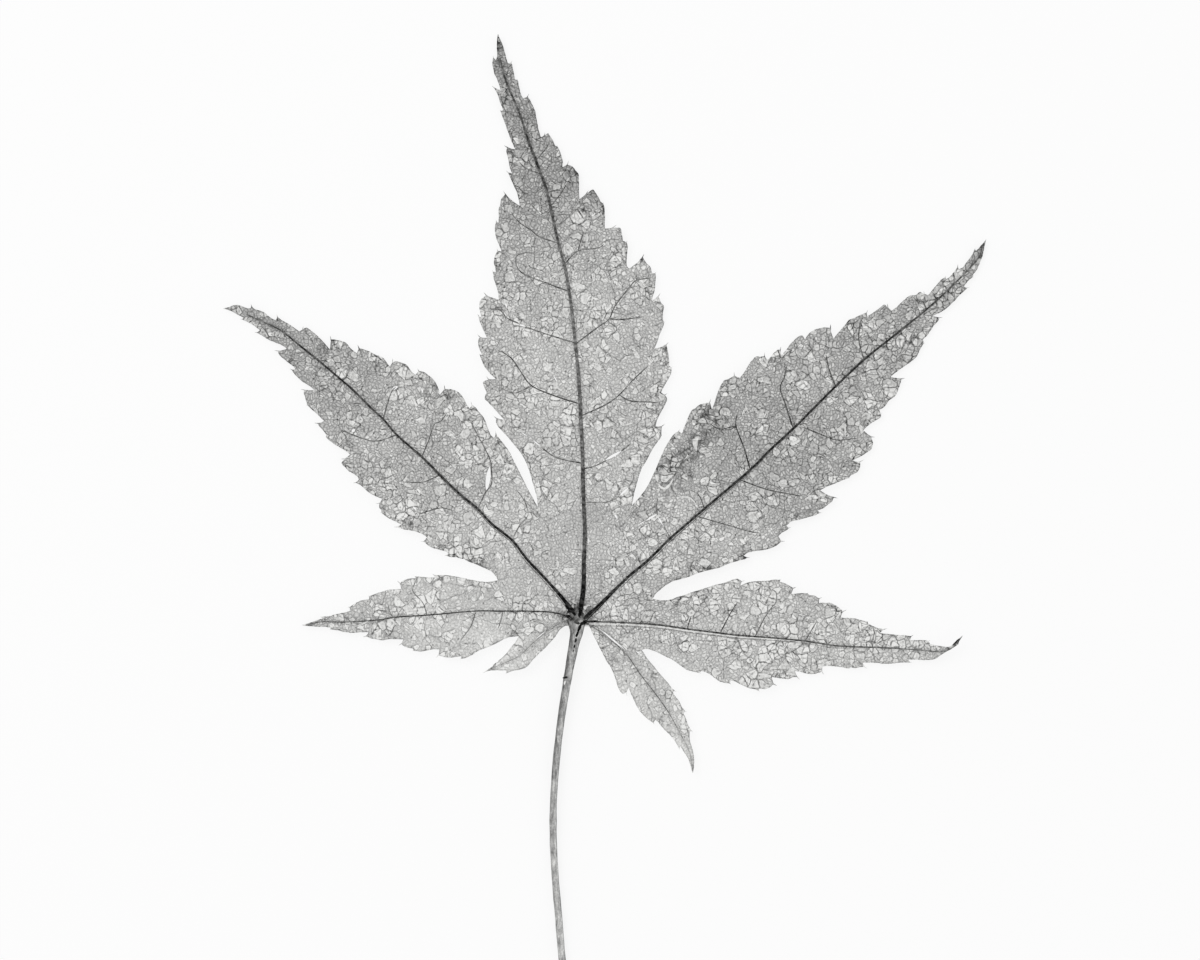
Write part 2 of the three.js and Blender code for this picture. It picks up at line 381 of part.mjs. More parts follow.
// A round rod bent along a curve: a cylinder whose rings are moved onto the curve and sized by radiusAt(0..1).
function rod(curve, radiusAt, step, sides) {
  const rings = Math.max(2, Math.round(curve.getLength() / step));
  const straight = new THREE.CylinderGeometry(1, 1, 1, sides, rings, false);
  const place = straight.attributes.position;
  const up = new THREE.Vector3(0, 0, 1);
  for (let i = 0; i < place.count; i++) {
    const along = Math.min(1, Math.max(0, 0.5 - place.getY(i)));
    const centre = curve.getPointAt(along);
    const ahead = curve.getTangentAt(along);
    const across = new THREE.Vector3().crossVectors(up, ahead).normalize();
    const above = new THREE.Vector3().crossVectors(ahead, across).normalize();
    const radius = radiusAt(along);
    const point = centre
      .clone()
      .addScaledVector(across, place.getX(i) * radius)
      .addScaledVector(above, place.getZ(i) * radius);
    place.setXYZ(i, point.x, point.y, point.z);
  }
  return straight;
}

// A vein: a slender rod sunk in the blade's upper face and proud of it by most of its own radius, thinner outward.
// The curve is drawn flat first, then taken again through many places so that it keeps to the bent blade.
function vein(through, radius, step, sides) {
  const radiusAt = (along) => radius * (1 - (1 - VEIN_TAPER) * along);
  const flat = new THREE.CatmullRomCurve3(through.map(([x, y]) => new THREE.Vector3(x, y, 0)));
  const places = flat.getSpacedPoints(Math.max(3, Math.round(flat.getLength() / DRAPE_STEP)));
  const curve = new THREE.CatmullRomCurve3(
    places.map(({ x, y }, i) => {
      const sunk = VEIN_SUNK * radiusAt(i / (places.length - 1));
      return new THREE.Vector3(x, y, lie(x, y) + BLADE_THICKNESS / 2 - sunk);
    })
  );
  return solid(rod(curve, radiusAt, step, sides));
}

// The stalk leaves the hub level with the blade and sinks to lie on the surface.
function stalk() {
  const hub = lie(0, 0);
  const length = -STALK_LINE[STALK_LINE.length - 1][1];
  const curve = new THREE.CatmullRomCurve3(
    STALK_LINE.map(([x, y]) => {
      const down = Math.min(1, Math.max(0, -y / length) * STALK_DROP);
      return new THREE.Vector3(x, y, hub + (STALK_FOOT_RADIUS - hub) * down);
    })
  );
  const radiusAt = (along) => {
    const neck = (STALK_NECK_RADIUS - STALK_RADIUS) * Math.exp(-along / SWELLING);
    const foot = (STALK_FOOT_RADIUS - STALK_RADIUS) * Math.exp((along - 1) / SWELLING);
    return STALK_RADIUS + neck + foot;
  };
  return solid(rod(curve, radiusAt, STALK_STEP, STALK_SIDES));
}

function leaf() {
  const hub = new THREE.SphereGeometry(HUB_RADIUS, 12, 8);
  hub.scale(1, 0.8, HUB_FLATNESS);
  hub.translate(-0.1, 0.15, lie(0, 0));
  let body = blade().add(stalk()).add(solid(hub));
  for (const rib of RIBS) body = body.add(vein(rib.through, rib.radius, RIB_STEP, RIB_SIDES));
  for (const through of SIDE_VEINS) body = body.add(vein(through, SIDE_VEIN_RADIUS, SIDE_VEIN_STEP, RIB_SIDES));
  return body;
}

// A manifold body as a three.js geometry with flat-shaded faces.
function drawn(body) {
  const mesh = body.getMesh();
  const geometry = new THREE.BufferGeometry();
  const vertices = [];
  for (let i = 0; i < mesh.vertProperties.length; i += mesh.numProp) {
    vertices.push(mesh.vertProperties[i], mesh.vertProperties[i + 1], mesh.vertProperties[i + 2]);
  }
  geometry.setAttribute("position", new THREE.Float32BufferAttribute(vertices, 3));
  geometry.setIndex(Array.from(mesh.triVerts));
  return geometry;
}

const geometry = drawn(leaf());
geometry.computeBoundingBox();
const box = geometry.boundingBox;
geometry.translate(-(box.min.x + box.max.x) / 2, -(box.min.y + box.max.y) / 2, -box.min.z);
geometry.computeVertexNormals();

const driedLeaf = new THREE.MeshStandardMaterial({ color: 0xa6a6a4, roughness: 0.85, metalness: 0 });
const mapleLeaf = new THREE.Mesh(geometry, driedLeaf);
mapleLeaf.name = "maple_leaf";

const group = new THREE.Group();
group.name = "dried_maple_leaf";
group.add(mapleLeaf);

export default group;
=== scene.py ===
import math

import bpy
import numpy as np
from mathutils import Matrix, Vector, geometry, kdtree, noise


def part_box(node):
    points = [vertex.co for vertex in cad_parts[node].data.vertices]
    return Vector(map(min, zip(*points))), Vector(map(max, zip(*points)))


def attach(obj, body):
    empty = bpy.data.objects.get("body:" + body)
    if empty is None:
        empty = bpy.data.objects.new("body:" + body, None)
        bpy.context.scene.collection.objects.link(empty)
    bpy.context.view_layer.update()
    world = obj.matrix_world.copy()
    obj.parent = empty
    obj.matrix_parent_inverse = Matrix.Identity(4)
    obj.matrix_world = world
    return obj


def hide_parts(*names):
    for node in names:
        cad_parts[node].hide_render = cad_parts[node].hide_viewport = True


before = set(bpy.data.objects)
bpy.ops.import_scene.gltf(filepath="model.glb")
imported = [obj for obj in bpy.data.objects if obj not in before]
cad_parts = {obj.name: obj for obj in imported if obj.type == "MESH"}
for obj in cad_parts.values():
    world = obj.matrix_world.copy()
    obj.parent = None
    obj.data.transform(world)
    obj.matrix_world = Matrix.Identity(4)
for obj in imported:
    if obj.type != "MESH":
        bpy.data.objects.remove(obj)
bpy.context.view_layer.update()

# A dried Japanese maple leaf lying face up: a thin toothed blade with raised ribs, its veins, its hub and
# its stalk. Measures below are millimetres in the leaf's own frame: the origin is where the stalk meets the
# blade, the middle lobe runs toward +Y and the stalk toward -Y.

MM = 0.001
_, leaf_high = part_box("maple_leaf")
UPPER_RIGHT_END_X = 40.73
MIDDLE_END_Y = 58.62
SHIFT_X = leaf_high.x / MM - UPPER_RIGHT_END_X
SHIFT_Y = leaf_high.y / MM - MIDDLE_END_Y

# The bays between neighbouring lobes, and the two places where the blade's edge meets the stalk.
STALK_RIGHT = [1, -0.5]
BAY_RIGHT_LOW = [6.28, -2.95]
BAY_RIGHT_HIGH = [7.35, 2.15]
BAY_RIGHT_TOP = [5.28, 11.45]
BAY_LEFT_TOP = [-4.1, 11.3]
BAY_LEFT_HIGH = [-8.12, 3.98]
BAY_LEFT_LOW = [-6.03, -1.6]
STALK_LEFT = [-1.2, -0.42]

# Each edge runs from its bay out to the lobe's end. A pair [x, y] is a place that the edge passes.
# Four numbers are one tooth: its tip, then the hollow just beyond it.
LOBES = [
  {
    "name": "small right lobe",
    "first": [
      STALK_RIGHT, [1.35, -1.3], [1.8, -2.2], [2.2, -3], [2.7, -3.95], [3.3, -4.95], [3.65, -5.9],
      [3.95, -6.8], [4.35, -7.35], [4.8, -7.6, 4.95, -6.75], [5.1, -7.1], [5.5, -8], [5.9, -8.8],
      [6.4, -9.45], [6.9, -9.9], [7.55, -10.45, 7.65, -9.95], [7.9, -10.2], [8.5, -10.9], [9.1, -11.5],
      [9.6, -12.1], [10.05, -12.92, 10.15, -12.6], [10.5, -13.2], [10.9, -13.8], [11.1, -14.4],
      [11.25, -15],
    ],
    "end": [11.38, -15.32],
    "second": [
      BAY_RIGHT_LOW, [6.6, -3.5], [7.1, -4.15], [7.8, -5], [8.4, -5.7], [9, -6.4], [9.3, -6.8],
      [9.73, -7.15, 9.35, -7.15], [9.6, -7.6], [10, -8.1], [10.3, -8.7], [10.77, -9.2, 10.45, -9.3],
      [10.7, -9.9], [10.95, -10.6], [11.36, -11.2, 11.05, -11.15], [11.05, -11.7], [11.2, -12.4],
      [11.4, -13.1], [11.5, -13.9], [11.5, -14.6],
    ],
  },
  {
    "name": "lower right lobe",
    "first": [
      BAY_RIGHT_LOW, [6.6, -2.85], [7.2, -2.95], [7.9, -3.25], [8.7, -3.65], [9.5, -4.05], [10.1, -4.5],
      [10.8, -4.95], [11.5, -5.15], [12.15, -5.35, 12.2, -5.05], [12.7, -5.2], [13.2, -5.5], [13.7, -5.9],
      [14.3, -6.2], [15.2, -6.42, 15.15, -6.03], [15.6, -6.15], [16.2, -6.45], [16.9, -6.75], [17.5, -6.9],
      [18.05, -7.15, 18, -6.85], [18.6, -6.9], [19, -6.75], [19.8, -6.58, 19.28, -5.68], [19.7, -5.75],
      [20.3, -5.85], [20.9, -5.9], [21.4, -5.7], [22.1, -5.98, 21.6, -5.12], [22.2, -5.2], [22.8, -5.35],
      [23.4, -5.4], [24.05, -5.25], [24.48, -5.45, 24.35, -4.66], [25, -4.6], [25.8, -4.65], [26.4, -4.75],
      [27.1, -4.87, 27.15, -4.73], [27.7, -4.8], [28.2, -4.72], [28.8, -4.86, 28.37, -4.26], [29, -4.25],
      [29.8, -4.3], [30.5, -4.38], [31.3, -4.35], [32.2, -4.25], [33.3, -4.27, 32.95, -3.92], [33.6, -3.95],
      [34.3, -4], [35, -3.98], [35.6, -3.85], [36, -3.6], [36.5, -3.25], [37, -2.95], [37.5, -2.65],
      [37.85, -2.4], [37.95, -2.05],
    ],
    "end": [38.3, -1.5],
    "second": [
      BAY_RIGHT_HIGH, [8.2, 1.98], [9.1, 2.05], [10, 2.38], [11, 2.7], [12, 3.02], [13, 3.35], [14, 3.6],
      [15, 3.88], [15.4, 4.08], [15.9, 4.1], [16.55, 3.95, 16.12, 3.45], [16.7, 3.68], [17.4, 3.85],
      [18.2, 3.9], [19, 3.95], [19.6, 4.05], [20.2, 4.02, 20.05, 3.85], [20.5, 3.7], [21, 3.45],
      [21.8, 3.33, 21.22, 2.62], [21.8, 2.65], [22.4, 2.7], [22.97, 2.7, 23.05, 2.5], [23.6, 2.42],
      [24.3, 2.27, 24, 1.7], [24.5, 1.72], [25.2, 1.68], [25.7, 1.45], [26.1, 1.17],
      [26.76, 1, 26.15, 0.26], [26.7, 0.22], [27.5, 0.15], [28.2, 0], [28.95, -0.2, 28.95, -0.4],
      [29.4, -0.6], [29.95, -0.8], [30.8, -0.84, 30.1, -1.3], [30.4, -1.38], [31.2, -1.42], [32, -1.5],
      [32.8, -1.55], [33.42, -1.5, 33.1, -2], [33.7, -2.02], [34.4, -2], [35.07, -2, 35.05, -2.4],
      [35.6, -2.5], [36.2, -2.6], [36.9, -2.65], [37.2, -2.5], [37.5, -2.2], [37.85, -1.85],
    ],
  },
  {
    "name": "upper right lobe",
    "first": [
      BAY_RIGHT_HIGH, [7.8, 2.8], [8.5, 3.35], [9.3, 3.85], [10.2, 4.1], [11, 4.35], [12, 4.75], [13, 5],
      [14, 5.25], [15, 5.65], [16, 5.95], [16.6, 6.1], [17.1, 6.22, 16.45, 6.42], [16.9, 6.75],
      [17.6, 6.88], [18.4, 7], [19.1, 7.15], [19.7, 7.4], [20.6, 7.88, 19.95, 8.35], [20.3, 8.75],
      [20.8, 9], [21.2, 9.25, 20.75, 9.42], [21.2, 9.85], [22, 10.03], [23, 10.3], [23.7, 10.5],
      [24.3, 10.74, 23.87, 10.95], [24.45, 11.2], [24.95, 11.57], [25.3, 11.87], [25.9, 12.2, 24.12, 12.98],
      [24.7, 13.3], [25.57, 13.65], [26.4, 14], [27.1, 14.2, 27.12, 14.42], [27.8, 14.8], [28.1, 15.3],
      [28.5, 16, 27.3, 15.95], [27.9, 16.2], [28.67, 16.67], [29.2, 17.05], [29.4, 17.6],
      [29.65, 18.3, 28.45, 19], [29, 19.5], [29.67, 19.94], [30.2, 20.3], [30.36, 20.7, 30.05, 21.02],
      [30.55, 21.33], [31.05, 22], [31.67, 22.45], [32, 23.2], [32.2, 23.8], [32.67, 24.2, 31.2, 24.33],
      [31.55, 24.65], [32.2, 25.15], [33, 25.67], [33.67, 26.2], [33.9, 26.55], [34.2, 27.2],
      [34.63, 27.75, 34.42, 28.05], [34.9, 28.55], [35.44, 29.33], [36, 30], [36.4, 30.27, 35.44, 30.44],
      [36, 30.7], [36.67, 31.1], [37.33, 31.7], [38, 32.4], [38.6, 32.97], [39.1, 33.27, 38.5, 33.35],
      [38.9, 33.9], [39.5, 34.33, 39.42, 34.55], [39.8, 35], [40.06, 35.6], [40.33, 36.3], [40.5, 37],
      [40.6, 37.5],
    ],
    "end": [40.73, 38.08],
    "second": [
      BAY_RIGHT_TOP, [5.8, 12], [6.4, 12.75], [6.9, 13.5], [7.3, 14.3], [7.7, 15.2], [8.1, 16.1], [8.5, 17],
      [9, 17.9], [9.5, 18.6], [10.05, 19.08, 10.3, 18.65], [10.6, 19.5], [10.9, 20.25], [11.3, 21],
      [11.6, 21.17], [12, 21.5], [12.6, 21.7], [13.2, 22.12, 13.32, 21.05], [13.6, 21.9], [14, 23.1],
      [14.5, 23.92], [15, 24.1], [15.5, 24.82, 16.1, 24.2], [16.5, 24.75], [17.2, 25.85], [17.7, 26.33],
      [18.2, 26.35], [18.55, 26.8, 18.85, 26], [19.1, 26.2], [19.45, 26.67], [19.8, 27],
      [20.2, 27.38, 20.28, 26.45], [20.67, 26.95], [21.2, 27.67], [21.9, 28.3], [22.35, 28.47],
      [22.58, 28.3, 22.6, 28.1], [22.9, 28.55], [23.44, 29], [24.1, 29.17], [24.7, 29.28],
      [25.17, 29.62, 25.45, 28.17], [25.9, 28.67], [26.55, 29.44], [27, 30], [27.44, 30.17], [27.9, 30.4],
      [28.5, 30.64], [28.9, 31.05, 28.85, 30.38], [29.33, 30.67], [30, 31.17], [30.55, 31.55],
      [30.85, 31.64, 31.28, 30.94], [31.9, 31.44], [32.67, 32.17], [33.1, 32.44], [33.67, 32.5],
      [34.1, 32.83], [34.5, 32.92, 34.92, 32.5], [35.44, 33.1], [36, 33.8], [36.45, 34.2],
      [36.68, 34.42, 36.75, 34.1], [37.2, 34.44], [37.67, 35], [37.9, 35.58, 38.05, 35.1], [38.44, 35.33],
      [38.9, 35.94], [39.28, 36.44], [39.64, 37.2, 39.72, 36.94], [40, 37.2], [40.35, 37.6],
    ],
  },
  {
    "name": "middle lobe",
    "first": [
      BAY_RIGHT_TOP, [5.5, 12.6], [5.85, 13.9], [6.2, 15], [6.8, 16.05], [7.3, 17], [7.75, 17.7],
      [8.2, 18.3], [8.25, 18.9], [8.6, 19.62, 7.67, 19.35], [7.8, 19.95], [8.15, 20.7], [8.55, 21.4],
      [8.8, 22.05], [8.85, 22.68, 8.2, 22.75], [8.5, 23.35], [8.95, 24.1], [9.25, 24.8],
      [9.35, 25.35, 9, 25.5], [9, 26], [8.9, 26.8], [9, 27.85, 7.5, 27.12], [7.8, 27.7], [8.07, 28.6],
      [8.36, 29.2], [8.65, 29.88, 8.37, 30.07], [8.4, 30.6], [8.5, 31.3], [8.43, 31.65, 8.2, 31.7],
      [8.07, 32.1], [8.15, 32.72, 7.32, 31.95], [7.38, 32.4], [7.57, 32.9], [7.64, 33.6], [7.7, 34.2],
      [7.69, 34.85, 7.3, 34.7], [7.14, 35.3], [6.8, 35.65], [6.54, 36.65, 5, 35.15], [4.78, 35.4],
      [4.76, 36], [4.82, 36.7], [4.88, 37.3], [4.83, 37.95, 4.4, 37.95], [4.3, 38.6], [4.1, 39.2],
      [3.75, 39.5, 2.58, 39.15], [2.58, 39.7], [2.6, 40.4], [2.55, 41.1], [2.45, 41.8, 2.17, 41.85],
      [1.75, 42.6], [1.35, 43.03], [0.95, 43.03, 0.05, 42.12], [0, 42.7], [0, 43.4], [0, 44.1],
      [-0.07, 44.65], [-0.35, 45], [-0.7, 45.4], [-1.05, 45.95, -1.67, 45.3], [-1.62, 45.9], [-1.83, 46.6],
      [-2, 47.1], [-2.15, 47.5, -2.42, 47.47], [-2.6, 47.95], [-2.9, 48.4], [-3.1, 48.7],
      [-3.4, 48.82, -3.8, 48.3], [-4.02, 48.95], [-4.15, 49.6], [-4.3, 50.4], [-4.45, 51.1], [-4.75, 51.7],
      [-4.95, 52.15], [-5.02, 52.65, -5.6, 52.15], [-5.82, 52.6], [-5.95, 53.2], [-6.15, 54.15, -6.4, 54.1],
      [-6.52, 54.7], [-6.65, 55.35], [-6.7, 55.98, -7.12, 55.73], [-7.28, 56.2], [-7.42, 56.8],
      [-7.6, 57.4], [-7.85, 58],
    ],
    "end": [-8.1, 58.62],
    "second": [
      BAY_LEFT_TOP, [-4.2, 12.2], [-4.45, 13.1], [-4.75, 14.2], [-5.05, 15.1], [-5.4, 16], [-5.85, 16.75],
      [-6.5, 17.55], [-7.3, 18.5], [-8, 19.25], [-8.3, 19.75], [-8.57, 20.4, -7.5, 20.05], [-8, 20.6],
      [-8.6, 21.25], [-9.1, 21.8], [-9.43, 22.15], [-9.4, 22.62, -9.2, 22.7], [-9.42, 23.2], [-9.58, 23.8],
      [-9.28, 24.38, -8.3, 24.08], [-8.9, 24.65], [-9.35, 25.2], [-9.7, 25.9], [-9.98, 26.65, -9.68, 26.52],
      [-9.95, 27.1], [-10.1, 27.8], [-10.2, 28.6, -9.2, 28.2], [-9.4, 28.65], [-9.7, 29.3], [-9.95, 29.9],
      [-10.2, 30.65, -9.73, 30.3], [-9.88, 30.75], [-9.97, 31.3], [-9.85, 32], [-9.55, 32.8, -8, 32.05],
      [-8.13, 32.9], [-8.33, 33.6], [-8.55, 34.2], [-8.7, 35, -8.32, 34.8], [-8.38, 35.2], [-8.5, 35.7],
      [-8.45, 36.3], [-8.2, 37.2, -7.75, 36.85], [-8.02, 37.6], [-8.3, 38.3], [-8.42, 39.2],
      [-8.28, 40.05, -8.05, 39.72], [-8.03, 40.3], [-8.07, 41.05], [-7.9, 41.45], [-7.8, 42.1],
      [-7.58, 42.95, -5.95, 41.45], [-6.02, 42.1], [-6.2, 42.7], [-6.5, 43.4], [-6.85, 44.2],
      [-7.3, 44.95, -6.7, 44.7], [-6.88, 45.1], [-7.02, 45.7], [-7.13, 46.3], [-7.27, 46.9],
      [-7.5, 47.5, -6.38, 47.1], [-6.8, 48], [-7.1, 48.8], [-7.33, 49.5], [-7.62, 50.25],
      [-7.92, 51.05, -7.6, 50.95], [-7.72, 51.35], [-7.97, 52.05], [-8.15, 52.6],
      [-8.72, 53.42, -7.87, 53.03], [-7.97, 53.5], [-8.17, 54.05], [-8.5, 54.8], [-8.67, 55.6],
      [-8.6, 56.45, -8.33, 56.02], [-8.2, 56.4], [-8.22, 57.2], [-8.2, 58],
    ],
  },
  {
    "name": "upper left lobe",
    "first": [
      BAY_LEFT_TOP, [-4.5, 12], [-5.1, 13.1], [-5.6, 14.1], [-6.1, 15.1], [-6.6, 16.1], [-7, 16.9],
      [-7.5, 17.6], [-8, 18.2], [-8.33, 18.9, -8.5, 18.2], [-8.8, 18.5], [-9, 18.95], [-9.2, 19.5],
      [-9.5, 20.2], [-10, 20.8], [-10.4, 21.3], [-10.78, 21.8, -10.94, 21.15], [-11.2, 21.5], [-11.5, 22.1],
      [-11.85, 22.6], [-12.3, 22.93], [-12.9, 23.08], [-13.45, 23.52, -13.95, 22.53], [-14, 22.95],
      [-14.2, 23.5], [-14.6, 24.1], [-15, 24.45], [-15.5, 24.8], [-16.15, 25.2, -16.35, 24.53],
      [-16.7, 24.8], [-17, 25.2], [-17.3, 25.55], [-17.8, 25.75], [-18.3, 25.9],
      [-18.63, 26.17, -18.93, 25.37], [-19.2, 25.7], [-19.6, 26.2], [-20.1, 26.6, -20.5, 26.6],
      [-21, 26.87], [-21.5, 27.08], [-22.15, 27.55, -22.25, 26.67], [-22.6, 26.95], [-23, 27.37],
      [-23.35, 27.77], [-23.9, 27.95], [-24.5, 28.05], [-24.9, 28.47, -24.95, 27.08], [-25.3, 27.5],
      [-25.7, 27.95], [-26.2, 28.45], [-26.8, 28.95], [-27.3, 29.22], [-27.6, 29.35, -28, 28.87],
      [-28.4, 29.18], [-28.9, 29.5], [-29.4, 29.8], [-29.9, 30.1], [-30.25, 30.55, -30.35, 30],
      [-30.8, 30.2], [-31.2, 30.5], [-31.6, 30.8], [-32.1, 31], [-32.55, 31.18],
      [-32.8, 31.6, -32.9, 31.18], [-33.3, 31.22], [-33.8, 31.42], [-34.4, 31.5], [-34.9, 31.32],
    ],
    "end": [-35.62, 31.13],
    "second": [
      BAY_LEFT_HIGH, [-8.28, 4.35], [-8.7, 4.82], [-9.3, 5.15], [-10, 5.45], [-11, 5.85], [-11.6, 6.1],
      [-12.3, 6.25], [-12.9, 6.32], [-13.48, 6.45, -13, 6.65], [-13.4, 6.87], [-14, 7.05], [-14.6, 7.2],
      [-15.1, 7.48], [-15.88, 7.84, -15.2, 8.27], [-15.6, 8.57], [-16.2, 8.82], [-16.9, 8.97],
      [-17.7, 9.12], [-18.5, 9.3, -17.75, 9.57], [-18.15, 9.77], [-18.65, 9.97], [-19.2, 10.3],
      [-19.85, 10.75, -19.75, 11], [-19.95, 11.22], [-20.33, 11.65, -19.68, 12.1], [-20.3, 12.37],
      [-21, 12.77], [-21.5, 13.2], [-21.9, 13.52], [-22.6, 13.7, -22.02, 14], [-22.1, 14.3], [-22.5, 14.6],
      [-23, 14.87], [-23.4, 15.3], [-23.75, 15.7], [-23.86, 16.08, -22.9, 16.55], [-23.3, 16.9],
      [-23.9, 17.25], [-24.5, 17.6], [-25, 17.98], [-25.4, 18.35, -25.27, 18.52], [-25.6, 18.95],
      [-26, 19.4], [-26.55, 19.7, -25.5, 19.9], [-25.85, 20.25], [-26.3, 20.7], [-26.9, 21.2],
      [-27.32, 21.5, -27.23, 21.72], [-27.4, 22.2], [-27.53, 22.7], [-27.88, 23.1, -26.55, 23.03],
      [-26.85, 23.33], [-27.4, 23.67], [-27.9, 24.03], [-28.4, 24.52], [-28.95, 25.15, -28.4, 25.1],
      [-28.65, 25.42], [-29.2, 25.82], [-29.7, 26.25], [-30.05, 26.6], [-30.5, 26.95, -29.25, 27.12],
      [-29.6, 27.42], [-30.1, 27.67], [-30.7, 27.87], [-31.2, 28.12], [-31.7, 28.45],
      [-32.48, 28.78, -31.93, 29], [-32.3, 29.27], [-32.8, 29.62], [-33.3, 29.87],
      [-33.9, 30.1, -33.55, 30.23], [-34, 30.47], [-34.5, 30.75], [-35, 30.98],
    ],
  },
  {
    "name": "lower left lobe",
    "first": [
      BAY_LEFT_HIGH, [-9, 3.82], [-10, 3.9], [-11, 4.08], [-12, 4.3], [-13, 4.45], [-13.9, 4.5],
      [-14.65, 4.58, -14.4, 4.25], [-14.9, 4.25], [-15.5, 4.3], [-16, 4.33], [-16.45, 4.4, -16.35, 4.17],
      [-17, 4.15], [-17.6, 3.95], [-18.2, 3.95, -17.78, 3.12], [-18.4, 3.08], [-19, 3.05], [-19.7, 2.82],
      [-20.4, 2.6], [-21.1, 2.38, -20.98, 2.08], [-21.5, 2.02], [-22, 1.85], [-22.55, 1.58],
      [-23.1, 1.3, -22.9, 0.93], [-23.4, 0.77], [-24, 0.65], [-24.87, 0.43, -24.97, 0.35], [-25.3, 0.38],
      [-25.9, 0.35, -25.7, 0.15], [-26.3, -0.07], [-27, -0.3],
    ],
    "end": [-27.7, -0.5],
    "second": [
      BAY_LEFT_LOW, [-6.9, -1.68], [-7.6, -1.95], [-8.3, -2.35], [-9.1, -2.7], [-9.9, -2.98], [-10.4, -3.3],
      [-10.9, -3.6], [-11.4, -3.8], [-11.9, -3.95, -11.78, -3.6], [-12.3, -3.68], [-13, -3.75],
      [-13.6, -3.65], [-14.33, -3.77, -13.98, -2.92], [-14.5, -2.92], [-15.2, -3.05], [-15.8, -3.15],
      [-16.65, -3.05, -16.6, -2.83], [-17.05, -2.75], [-17.5, -2.62], [-18.05, -2.54, -17.57, -1.93],
      [-18.2, -1.9], [-19, -1.92], [-19.7, -2.02], [-20.3, -1.9], [-20.9, -1.8],
      [-21.6, -1.68, -21.03, -1.22], [-21.6, -1.2], [-22.2, -1.25], [-23, -1.25], [-23.6, -1.15],
      [-24.1, -1.02], [-24.93, -0.98, -24.9, -0.73], [-25.4, -0.68], [-26.2, -0.68], [-27, -0.6],
    ],
  },
  {
    "name": "small left lobe",
    "first": [
      BAY_LEFT_LOW, [-6.3, -2.1], [-6.8, -2.72], [-7.3, -3.38], [-7.8, -3.85], [-8.1, -4, -8.1, -4.15],
      [-8.65, -4.45, -8.6, -4.6], [-9, -4.85],
    ],
    "end": [-9.6, -5.28],
    "second": [
      STALK_LEFT, [-1.9, -0.95], [-2.35, -1.6], [-2.9, -2.25], [-3.4, -2.8], [-4, -3.35], [-4.6, -3.95],
      [-5, -4.45], [-5.35, -4.75], [-6, -4.95], [-6.7, -5.1], [-7.35, -5.35, -7.25, -5.02], [-7.7, -5],
      [-8.4, -5.02], [-9, -5.05],
    ],
  },
]

